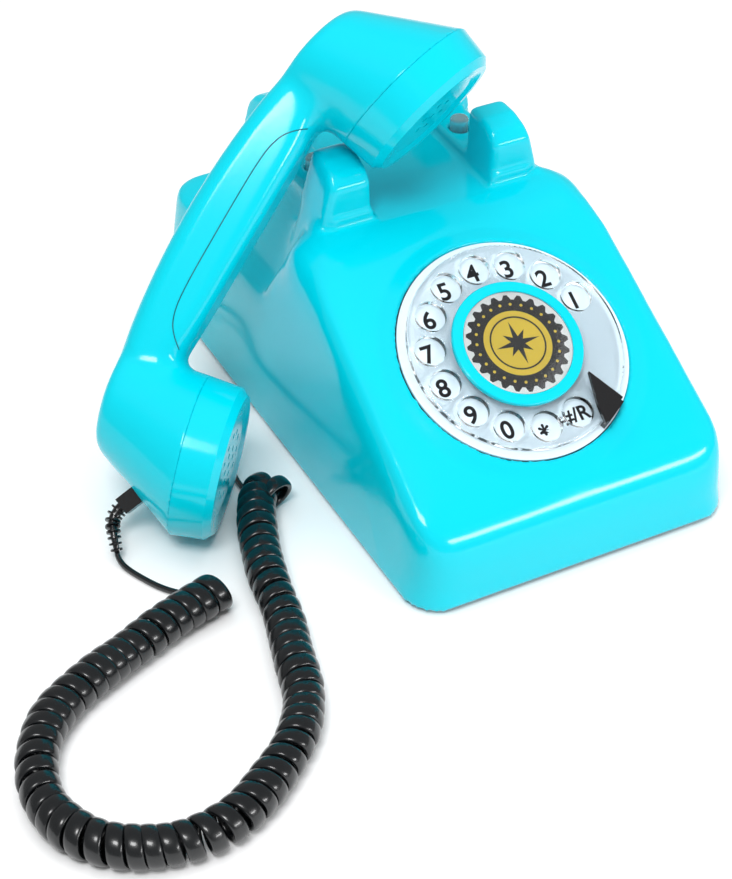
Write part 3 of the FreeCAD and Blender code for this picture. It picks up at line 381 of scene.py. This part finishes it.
def lathe(name, outline, place, segments=96):
    """A closed solid of revolution from (radius, height) points that start and end on the axis."""
    made = bmesh.new()
    rings = []
    for radius, height in outline:
        if radius < 1e-9:
            rings.append([made.verts.new((0, 0, height))])
        else:
            rings.append([made.verts.new((radius * math.cos(t), radius * math.sin(t), height))
                          for t in full_turn(segments)])
    for low, high in zip(rings, rings[1:]):
        for i in range(segments):
            following = (i + 1) % segments
            corners = [low[i % len(low)], low[following % len(low)], high[following % len(high)],
                       high[i % len(high)]]
            unique = list(dict.fromkeys(corners))
            if len(unique) > 2:
                made.faces.new(unique)
    bmesh.ops.recalc_face_normals(made, faces=made.faces)
    mesh = mesh_from(made, name)
    mesh.transform(place)
    return sharpen(mesh, 35)


def flat_cutout(name, outlines, low, high, place):
    """A thin plate whose outline, or outlines with holes after the first, are drawn in the XY plane."""
    drawing = bpy.data.curves.new(name, "CURVE")
    drawing.dimensions = "2D"
    drawing.fill_mode = "BOTH"
    drawing.extrude = (high - low) / 2
    for outline in outlines:
        spline = drawing.splines.new("POLY")
        spline.points.add(len(outline) - 1)
        for point, (x, y) in zip(spline.points, outline):
            point.co = (x, y, 0, 1)
        spline.use_cyclic_u = True
    holder = bpy.data.objects.new(name, drawing)
    mesh = bpy.data.meshes.new_from_object(holder)
    bpy.data.objects.remove(holder)
    mesh.transform(place @ Matrix.Translation((0, 0, (low + high) / 2)))
    return sharpen(mesh, 30)


def circle_points(radius, count=96, x=0.0, y=0.0):
    return [(x + radius * math.cos(t), y + radius * math.sin(t)) for t in full_turn(count)]


def smooth_line(name, controls, steps):
    """Points along the smooth line that the controls steer."""
    line = bpy.data.curves.new(name, "CURVE")
    line.dimensions = "3D"
    line.resolution_u = steps
    spline = line.splines.new("NURBS")
    spline.points.add(len(controls) - 1)
    for point, place in zip(spline.points, controls):
        point.co = (*place, 1)
    spline.order_u = 3
    spline.use_endpoint_u = True
    holder = bpy.data.objects.new(name, line)
    mesh = bpy.data.meshes.new_from_object(holder)
    points = [v.co.copy() for v in mesh.vertices]
    bpy.data.objects.remove(holder)
    return points


def add_tube(made, points, radii, sides):
    """Adds a round closed tube along the points, with a radius at each."""
    last = len(points) - 1
    before = None
    rings = []
    for i, middle in enumerate(points):
        ahead = (points[min(i + 1, last)] - points[max(i - 1, 0)]).normalized()
        wide = ahead.cross(Vector((0, 0, 1)) if abs(ahead.z) < 0.95 else Vector((1, 0, 0))).normalized()
        if before is not None and wide.dot(before) < 0:
            wide = -wide
        before = wide
        thin = ahead.cross(wide)
        rings.append([made.verts.new(middle + (wide * math.cos(t) + thin * math.sin(t)) * radii[i])
                      for t in full_turn(sides)])
    for low, high in zip(rings, rings[1:]):
        for side in range(sides):
            following = (side + 1) % sides
            made.faces.new((low[side], low[following], high[following], high[side]))
    made.faces.new(list(reversed(rings[0])))
    made.faces.new(rings[-1])


def ramp(values, start, width):
    """0 up to the start, 1 from its width on, and straight between them."""
    return np.clip((values - start) / width, 0, 1)


def dial_top(node):
    """How far a node reaches out of the dial's face."""
    back = DIAL_FRAME.inverted()
    return max((back @ v.co).z for v in NODES[node].data.vertices)


def soft_skin(nodes, name, voxel, passes_at, keep=0.45):
    """A closed skin in the shape of some nodes together, with its edges rounded.

    passes_at takes the points as an array and gives how many smoothing passes each one gets. A pass moves a
    point half of the way to the middle of its neighbours. keep is the share of the faces left at the end.
    """
    together = bmesh.new()
    for node in nodes:
        together.from_mesh(NODES[node].data)
    source = bpy.data.objects.new(name + "_source", mesh_from(together, name + "_source"))
    bpy.context.scene.collection.objects.link(source)
    cells = source.modifiers.new("cells", "REMESH")
    cells.mode = "VOXEL"
    cells.voxel_size = voxel
    cells.use_smooth_shade = True
    bpy.context.view_layer.update()
    mesh = bpy.data.meshes.new_from_object(source.evaluated_get(bpy.context.evaluated_depsgraph_get()))
    bpy.data.objects.remove(source)
    count = len(mesh.vertices)
    points = np.empty(count * 3)
    mesh.vertices.foreach_get("co", points)
    points = points.reshape(-1, 3)
    ends = np.empty(len(mesh.edges) * 2, dtype=np.int64)
    mesh.edges.foreach_get("vertices", ends)
    first, second = ends[0::2], ends[1::2]
    degree = np.maximum(np.bincount(ends, minlength=count), 1)
    passes = passes_at(points)
    for step in range(int(math.ceil(passes.max()))):
        share = 0.5 * np.clip(passes - step, 0, 1)
        for axis in range(3):
            column = points[:, axis]
            total = (np.bincount(first, weights=column[second], minlength=count)
                     + np.bincount(second, weights=column[first], minlength=count))
            column += share * (total / degree - column)
    mesh.vertices.foreach_set("co", points.ravel())
    mesh.update()
    holder = bpy.data.objects.new(name + "_holder", mesh)
    bpy.context.scene.collection.objects.link(holder)
    thinner = holder.modifiers.new("thinner", "DECIMATE")
    thinner.ratio = keep
    bpy.context.view_layer.update()
    result = bpy.data.meshes.new_from_object(holder.evaluated_get(bpy.context.evaluated_depsgraph_get()))
    bpy.data.objects.remove(holder)
    result.name = name
    result.polygons.foreach_set("use_smooth", [True] * len(result.polygons))
    return result


# ---------------------------------------------------------------- operators
class PHONE_OT_stage(bpy.types.Operator):
    """Make the pale floor, the softboxes and the camera"""
    bl_idname = "phone.stage"
    bl_label = "Stage"

    AMBIENT = 0.34

    def execute(self, context):
        settings = context.scene.phone_stage
        floor = bpy.data.objects.new("floor", mesh_of(
            "floor", [(-3, -3, 0), (3, -3, 0), (3, 3, 0), (-3, 3, 0)], [(0, 1, 2, 3)], smooth=False))
        context.scene.collection.objects.link(floor)
        floor.data.materials.append(moulded_plastic("pale floor", settings.floor, gloss=0.6, tint=0.02,
                                                    Specular_IOR_Level=0.2))
        self.softbox("overhead", (-0.1, 0.1, 1.4), (0, 0, 0.05), 1.6, 1.6, settings.key, False)
        self.softbox("right_fill", (1.2, -0.5, 0.8), (0, 0, 0.05), 0.9, 0.9, settings.key * 0.22, False)
        self.softbox("window", (-0.55, -0.62, 1.25), (-0.02, -0.02, 0.08), 0.50, 0.36,
                     settings.key * 0.75, True)
        self.softbox("front_strip", (0.55, -1.1, 0.42), (0.0, -0.1, 0.03), 0.7, 0.12,
                     settings.key * 0.40, True)
        world = bpy.data.worlds.new("studio")
        world.use_nodes = True
        background = world.node_tree.nodes["Background"]
        background.inputs["Color"].default_value = (1, 1, 1, 1)
        background.inputs["Strength"].default_value = self.AMBIENT
        context.scene.world = world
        context.scene.view_settings.view_transform = "Standard"
        self.camera(context.scene, settings)
        return {"FINISHED"}

    def softbox(self, name, place, target, width, height, power, mirrored):
        """A rectangular light that faces its target; mirrored says whether glossy surfaces show it."""
        lamp = bpy.data.lights.new(name, "AREA")
        lamp.shape = "RECTANGLE"
        lamp.size = width
        lamp.size_y = height
        lamp.energy = power
        holder = bpy.data.objects.new(name, lamp)
        bpy.context.scene.collection.objects.link(holder)
        holder.location = place
        holder.visible_glossy = mirrored
        holder.rotation_euler = (Vector(target) - Vector(place)).to_track_quat("-Z", "Y").to_euler()

    def camera(self, scene, settings):
        """The camera looks down at the base's left front corner, tilted by a fraction of a degree."""
        lens = bpy.data.cameras.new("camera")
        lens.lens = settings.lens
        lens.sensor_width = 36.0
        holder = bpy.data.objects.new("camera", lens)
        scene.collection.objects.link(holder)
        ahead = CAMERA_AHEAD.normalized()
        up = CAMERA_RIGHT.normalized().cross(ahead).normalized()
        right = ahead.cross(up)
        holder.matrix_world = (Matrix.Translation(BASE_ORIGIN + CAMERA_FROM_BASE)
                               @ Matrix((right, up, -ahead)).transposed().to_4x4())
        scene.camera = holder


class PHONE_OT_cord(bpy.types.Operator):
    """Make the coiled cord, from the handset's boot to the plug in the base's side"""
    bl_idname = "phone.cord"
    bl_label = "Coiled cord"

    # routes on the table, in millimetres in the base's own frame
    HANDSET_LEAD = [BOOT_END, (-144.8, -21.0, 3.0), (-144.0, -25.5, 1.3), (-141.2, -32.5, 1.2),
                    (-137.0, -41.0, 1.2), (-131.5, -47.5, 1.2), (-125.0, -51.5, 1.3)]
    COIL = [(-121.0, -57.0, 7.3), (-140.0, -61.8, 7.3), (-160.0, -70.2, 7.3), (-180.0, -77.6, 7.3),
            (-197.5, -88.0, 7.3), (-208.0, -104.0, 7.3), (-212.0, -122.0, 7.3), (-207.0, -139.0, 7.3),
            (-195.5, -150.5, 7.3), (-178.0, -156.6, 7.3), (-160.0, -154.4, 7.3), (-144.0, -144.6, 7.3),
            (-128.5, -132.5, 7.3), (-118.0, -117.0, 7.3), (-113.5, -98.0, 7.3), (-107.5, -79.0, 7.3),
            (-104.5, -60.0, 7.3), (-99.0, -41.0, 7.3), (-92.5, -25.0, 7.3), (-88.2, -17.5, 7.6),
            (-84.2, -16.6, 7.8), (-82.4, -20.5, 7.6), (-82.6, -25.0, 7.4)]
    BASE_LEAD = [(-86.6, -14.0, 1.3), (-88.6, -6.0, 1.2), (-88.4, 3.0, 1.2), (-84.5, 15.0, 1.2),
                 (-82.5, 28.0, 1.2), (-79.5, 43.0, 1.2), (-79.5, 60.0, 1.2), (-83.0, 74.0, 1.8),
                 (-86.0, 87.5, 4.0), (-80.5, 99.5, 7.0), (-69.5, 105.0, 9.6)]
    PER_TURN = 16                   # points to a turn
    FIRST_TURN = -50.0              # where the first turn starts, in degrees
    LINE_STEPS = 3                  # points on the line to a control
    SIDES = 16                      # of the cord's section

    def execute(self, context):
        settings = context.scene.phone_cord
        lead_in = [on_base(p) for p in self.HANDSET_LEAD]
        lead_out = [on_base(p) for p in self.BASE_LEAD]
        axis = smooth_line("coil_axis", [on_base(p) for p in self.COIL], 12)
        turns, alongs = self.helix(axis, settings)
        upright = Vector((0, 0, 1))
        controls = lead_in + turns + lead_out
        flats = [upright] * len(lead_in) + alongs + [upright] * len(lead_out)
        coiled = [0.0] * len(lead_in) + [1.0] * len(turns) + [0.0] * len(lead_out)
        path = smooth_line("cord_line", controls, self.LINE_STEPS)
        mesh = self.ribbon(path, flats, coiled, settings)
        cord = bpy.data.objects.new("phone_cord", mesh)
        context.scene.collection.objects.link(cord)
        mesh.materials.append(finish_of("cord jacket"))
        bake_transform(cord)
        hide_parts("handset_lead", "cord_coil", "base_lead")
        return {"FINISHED"}

    def helix(self, axis, settings):
        """Controls for the turns round the coil's line, and the coil's direction at each."""
        reach = [0.0]
        for a, b in zip(axis, axis[1:]):
            reach.append(reach[-1] + (b - a).length)
        count = settings.turns * self.PER_TURN
        turns, alongs = [], []
        index = 0
        for i in range(count + 1):
            share = i / count
            wanted = reach[-1] * (share + 0.0035 * math.sin(share * 23.0)
                                  + 0.002 * math.sin(share * 61.0 + 1.0))
            wanted = min(max(wanted, 0.0), reach[-1] * 0.99999)
            while reach[index + 1] < wanted:
                index += 1
            while reach[index] > wanted:
                index -= 1
            part = (wanted - reach[index]) / (reach[index + 1] - reach[index])
            middle = axis[index].lerp(axis[index + 1], part)
            along = (axis[index + 1] - axis[index]).normalized()
            side = along.cross(Vector((0, 0, 1))).normalized()
            over = side.cross(along)
            turn = math.radians(self.FIRST_TURN) - 2 * math.pi * settings.turns * share
            radius = settings.coil_radius * (1 + 0.025 * math.sin(share * 37.0)
                                             + 0.02 * math.sin(share * 91.0))
            turns.append(middle + (side * math.cos(turn) + over * math.sin(turn)) * radius)
            alongs.append(along)
        return turns, alongs

    def ribbon(self, path, flats, coiled, settings):
        """A flat cord of rounded section along the path; flats say which way its width lies."""
        sides = self.SIDES
        vertices, faces = [], []
        last = len(path) - 1
        for i, middle in enumerate(path):
            ahead = (path[min(i + 1, last)] - path[max(i - 1, 0)]).normalized()
            spot = i / last * (len(flats) - 1)
            low = min(int(spot), len(flats) - 2)
            blend = spot - low
            flat = flats[low].lerp(flats[low + 1], blend)
            coil = coiled[low] * (1 - blend) + coiled[low + 1] * blend
            wide = (flat - ahead * flat.dot(ahead)).normalized()
            thin = ahead.cross(wide)
            # the leads are narrower than the turns, and a little thinner
            half_width = settings.width / 2 * (0.40 + 0.60 * coil)
            half_thick = settings.thickness / 2 * (0.80 + 0.20 * coil)
            for turn in full_turn(sides):
                over, under = math.cos(turn), math.sin(turn)
                vertices.append(middle + wide * half_width * math.copysign(abs(over) ** 0.8, over)
                                + thin * half_thick * math.copysign(abs(under) ** 0.8, under))
        for i in range(last):
            for side in range(sides):
                a, b = i * sides + side, i * sides + (side + 1) % sides
                faces.append((a, a + sides, b + sides, b))
        faces.append(tuple(range(sides)))
        faces.append(tuple(reversed(range(last * sides, last * sides + sides))))
        return mesh_of("phone_cord", vertices, faces)


class PHONE_OT_boot(bpy.types.Operator):
    """Make the strain relief: a thin core with rings, from the plug in the mouthpiece down to the cord"""
    bl_idname = "phone.boot"
    bl_label = "Strain relief"

    RINGS = 8
    START = 0.0055                  # from the socket's middle out to the core's end
    STRAIGHT = 0.006                # how far the core heads straight out

    def execute(self, context):
        end = on_base(BOOT_END)
        start = MOUTH_SOCKET @ Vector((0, 0, self.START))
        out = (MOUTH_SOCKET.to_3x3() @ Vector((0, 0, 1))).normalized()
        above_end = end + Vector((0.0004, 0.0030, 0.0045))
        line = smooth_line("boot_line", [start, start + out * self.STRAIGHT, above_end, end], 16)
        made = bmesh.new()
        # the core thins from a radius of 2.1 mm to 1.0 mm, and the rings on it from 3.1 mm to 2.2 mm
        radii = [0.0021 - 0.0011 * i / (len(line) - 1) for i in range(len(line))]
        add_tube(made, line, radii, 16)
        reach = [0.0]
        for a, b in zip(line, line[1:]):
            reach.append(reach[-1] + (b - a).length)
        for k in range(self.RINGS):
            wanted = reach[-1] * (0.16 + 0.80 * k / (self.RINGS - 1))
            i = max(n for n in range(len(reach) - 1) if reach[n] <= wanted)
            middle = line[i].lerp(line[i + 1], (wanted - reach[i]) / (reach[i + 1] - reach[i]))
            ahead = (line[i + 1] - line[i]).normalized()
            size = 0.0031 - 0.0009 * k / (self.RINGS - 1)
            disc = [middle + ahead * step for step in (-0.00042, -0.0003, 0.0003, 0.00042)]
            add_tube(made, disc, [size * 0.9, size, size, size * 0.9], 24)
        mesh = sharpen(mesh_from(made, "boot_rings"), 40)
        boot = new_piece("boot_rings", mesh, "handset", "cord jacket")
        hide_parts("plug_boot")
        return {"FINISHED"}


class PHONE_OT_housing(bpy.types.Operator):
    """Make the base shell, with soft edges to the dial face and crisp ones round the dial and the posts"""
    bl_idname = "phone.housing"
    bl_label = "Base shell"

    # smoothing passes round the dial, on the sloping face and on the deck behind it, and more on the brow
    FEW, FACE, DECK, BROW = 3.0, 130.0, 45.0, 170.0

    def execute(self, context):
        settings = context.scene.phone_shell
        mesh = soft_skin(["housing"], "housing_skin", settings.grain, self.passes)
        skin = new_piece("housing_skin", mesh, "base", "turquoise shell")
        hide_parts("housing")
        return {"FINISHED"}

    def passes(self, points):
        """Few passes round the dial and on the posts, many on the face, and most at the brow's corners."""
        x = np.abs(points[:, 0] - BASE_ORIGIN.x) / MM
        y = (points[:, 1] - BASE_ORIGIN.y) / MM
        z = points[:, 2] / MM
        from_dial = np.linalg.norm(points - np.array(DIAL_MIDDLE), axis=1) / MM
        passes = self.FEW + (self.FACE - self.FEW) * ramp(from_dial, 51.5, 4.0)
        behind = ramp(y, 24.0, 8.0)
        passes = passes * (1 - behind) + self.DECK * behind
        brow = ramp(x, 46.0, 8.0) * ramp(z, 56.0, 12.0) * ramp(y, -12.0, 14.0)
        passes = passes + self.BROW * brow * (1 - behind)
        tower = (x < 44) & (y > 12) & (z > 60)
        passes = np.where(tower | (from_dial < 44.0), self.FEW, passes)
        return passes * ramp(z, 4.0, 4.0)


class PHONE_OT_handset(bpy.types.Operator):
    """Make the handset's shell: a handle that flows into both cups, with the thin seam along its sides"""
    bl_idname = "phone.handset"
    bl_label = "Handset shell"

    # side view of the seam, in millimetres: along the handset, and out to its back
    SEAM = [(44.5, 22.5), (41.5, 26.0), (36.5, 29.6), (27.0, 31.4), (0.0, 31.6), (-27.0, 31.4), (-36.5, 29.6),
            (-41.5, 26.0), (-44.5, 22.5)]
    SEAM_RADIUS = 0.00020
    LONGEST_STEP = 0.006            # a point further on than this has landed on something else

    # smoothing passes elsewhere, where the handle meets a cup, and on a cup's back
    FEW, FLOW, CROWN = 3.0, 260.0, 130.0

    def execute(self, context):
        voxel = context.scene.phone_shell.handset_grain
        nodes = ["handset_back_shell", "handset_inner_shell"]
        mesh = soft_skin(nodes, "handset_skin", voxel, self.passes, keep=0.4)
        skin = new_piece("handset_skin", mesh, "handset", "turquoise shell")
        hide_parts(*nodes)
        lines = bmesh.new()
        surface = BVHTree.FromPolygons([v.co for v in mesh.vertices], [p.vertices for p in mesh.polygons])
        for side in (-1, 1):
            self.seam(lines, surface, side)
        seam = sharpen(mesh_from(lines, "handset_seam"), 60)
        new_piece("handset_seam", seam, "handset", "seam shadow")
        return {"FINISHED"}

    def passes(self, points):
        """Many passes where the handle flows into the cups and on their backs, none at the caps' seams."""
        back = np.array(HANDSET_FRAME.inverted())
        local = (points @ back[:3, :3].T + back[:3, 3]) / MM
        x, z = np.abs(local[:, 0]), local[:, 2]
        flow = self.FLOW * np.exp(-(((x - 51.0) / 11.0) ** 2 + ((z - 20.0) / 13.0) ** 2))
        crown = self.CROWN * ramp(x, 46.0, 14.0) * ramp(z, 8.0, 14.0)
        above = (x - CAP_MIDDLE_X) * math.sin(CAP_TILT) + (z - CAP_MIDDLE_Z) * math.cos(CAP_TILT)
        return np.maximum(self.FEW, np.maximum(flow, crown)) * ramp(above, 0.8, 6.0)

    def seam(self, lines, surface, side):
        """A hair line where the two shells meet, laid on one side of the handle."""
        across = (HANDSET_FRAME.to_3x3() @ Vector((0, side, 0))).normalized()
        controls = [Vector((x * MM, 0, z * MM)) for x, z in self.SEAM]
        points = []
        for point in smooth_line("seam_line", controls, 10):
            hit, normal, _, _ = surface.ray_cast(HANDSET_FRAME @ point + across * 0.06, -across)
            if hit is not None and (not points or (hit - points[-1]).length < self.LONGEST_STEP):
                points.append(hit + normal * 0.00003)
        add_tube(lines, points, [self.SEAM_RADIUS] * len(points), 6)


class PHONE_OT_dial_print(bpy.types.Operator):
    """Print the digits on the number plate, under the holes of the finger wheel"""
    bl_idname = "phone.dial_print"
    bl_label = "Digits"

    LABELS = ["1", "2", "3", "4", "5", "6", "7", "8", "9", "0", "*", "#/R"]
    DIGIT_SHARE = 0.72              # height of a digit as a share of the type's size
    LONG_SHARE = 0.8                # size of a longer label as a share of a digit's
    BOLDER = 0.022                  # how far the letters are thickened, as a share of their size
    INK = 0.00004                   # half of the print's thickness

    def execute(self, context):
        settings = context.scene.phone_dial
        top = dial_top("number_plate")
        together = bmesh.new()
        for i, label in enumerate(self.LABELS):
            turn = math.radians(FIRST_HOLE + HOLE_STEP * i)
            size = settings.digit_height / self.DIGIT_SHARE * (self.LONG_SHARE if len(label) > 1 else 1.0)
            reach = settings.ring_radius
            place = Matrix.Translation((math.cos(turn) * reach, math.sin(turn) * reach, top))
            together.from_mesh(self.label(label, size, DIAL_FRAME @ place))
        mesh = mesh_from(together, "dial_digits")
        new_piece("dial_digits", mesh, "base", "digit ink")
        return {"FINISHED"}

    def label(self, text, size, place):
        words = bpy.data.curves.new("label", "FONT")
        words.body = text
        words.size = size
        words.align_x = "CENTER"
        words.align_y = "CENTER"
        words.offset = size * self.BOLDER
        words.extrude = self.INK
        holder = bpy.data.objects.new("label", words)
        mesh = bpy.data.meshes.new_from_object(holder)
        bpy.data.objects.remove(holder)
        low = min(v.co.y for v in mesh.vertices)
        high = max(v.co.y for v in mesh.vertices)
        mesh.transform(place @ Matrix.Translation((0, -(low + high) / 2, self.INK)))
        return mesh


class PHONE_OT_badge(bpy.types.Operator):
    """Make the round badge in the middle of the dial, and the clear lens over it"""
    bl_idname = "phone.badge"
    bl_label = "Badge and lens"

    TEETH = 24
    TOOTH = 0.9 * MM
    EDGE_R = 18.0 * MM
    DOT_RING_R = 15.2 * MM
    DOT_R = 0.55 * MM
    GOLD_R = 12.6 * MM
    INK = 0.00006                   # thickness of a printed layer

    def execute(self, context):
        top = dial_top("number_card")
        ink = self.INK
        toothed = []
        for turn in full_turn(self.TEETH * 8):
            radius = self.EDGE_R + self.TOOTH * max(-0.6, min(0.6, math.sin(turn * self.TEETH) * 1.5)) / 0.6
            toothed.append((radius * math.cos(turn), radius * math.sin(turn)))
        self.layer("badge_ring", [toothed, circle_points(self.GOLD_R)], top, top + ink, "digit ink")
        self.layer("badge_middle", [circle_points(self.GOLD_R)], top, top + ink, "badge gold")
        dots = [circle_points(self.DOT_R, 16, self.DOT_RING_R * math.cos(t), self.DOT_RING_R * math.sin(t))
                for t in full_turn(self.TEETH)]
        self.layer("badge_dots", dots, top + ink, top + 2 * ink, "badge gold")
        star = []
        for i, turn in enumerate(full_turn(16)):
            radius = (8.6 if i % 4 == 0 else 6.0 if i % 2 == 0 else 2.6) * MM
            star.append((radius * math.cos(turn + math.pi / 2), radius * math.sin(turn + math.pi / 2)))
        self.layer("badge_star", [star], top + ink, top + 2 * ink, "digit ink")
        self.layer("badge_star_ring", [circle_points(10.4 * MM), circle_points(9.8 * MM)], top + ink,
                   top + 2 * ink, "digit ink")
        outline = [(0, 0.0004), (0.020, 0.0004), (0.020, 0.0009), (0.017, 0.00125), (0.010, 0.0016),
                   (0, 0.0017)]
        lens = lathe("badge_lens", [(radius, top + height) for radius, height in outline], DIAL_FRAME)
        lens_piece = new_piece("badge_lens", lens, "dial", "clear wheel")
        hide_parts("card_lens")
        return {"FINISHED"}

    def layer(self, name, outlines, low, high, finish):
        mesh = flat_cutout(name, outlines, low, high, DIAL_FRAME)
        new_piece(name, mesh, "dial", finish)


class PHONE_OT_node_finishes(bpy.types.Operator):
    """Give every part that keeps its shape the finish it has"""
    bl_idname = "phone.node_finishes"
    bl_label = "Finishes"

    def execute(self, context):
        for node, finish in NODE_FINISHES.items():
            piece = NODES[node]
            material = finish_of(finish)
            if not piece.material_slots:
                piece.data.materials.append(material)
            for slot in piece.material_slots:
                slot.material = material
        return {"FINISHED"}


class PHONE_PT_panel(bpy.types.Panel):
    """The telephone's pieces and their settings"""
    bl_idname = "PHONE_PT_panel"
    bl_label = "Telephone"
    bl_space_type = "VIEW_3D"
    bl_region_type = "UI"
    bl_category = "Telephone"

    def draw(self, context):
        for group in SETTINGS:
            box = self.layout.box()
            for name in getattr(bpy.types.Scene, group).keywords["type"].__annotations__:
                box.prop(getattr(context.scene, group), name)
        for operator in OPERATORS:
            self.layout.operator(operator.bl_idname)


SETTINGS = {"phone_shell": PhoneShellSettings, "phone_dial": PhoneDialSettings,
            "phone_cord": PhoneCordSettings, "phone_stage": PhoneStageSettings}
OPERATORS = [PHONE_OT_stage, PHONE_OT_boot, PHONE_OT_cord, PHONE_OT_housing, PHONE_OT_handset,
             PHONE_OT_dial_print, PHONE_OT_badge, PHONE_OT_node_finishes]


def register():
    for kind in (*SETTINGS.values(), *OPERATORS, PHONE_PT_panel):
        bpy.utils.register_class(kind)
    for name, kind in SETTINGS.items():
        setattr(bpy.types.Scene, name, PointerProperty(type=kind))


def unregister():
    for name in SETTINGS:
        delattr(bpy.types.Scene, name)
    for kind in reversed((*SETTINGS.values(), *OPERATORS, PHONE_PT_panel)):
        bpy.utils.unregister_class(kind)


def main():
    register()
    for operator in OPERATORS:
        group, name = operator.bl_idname.split(".")
        getattr(getattr(bpy.ops, group), name)()


if __name__ == "__main__":
    main()
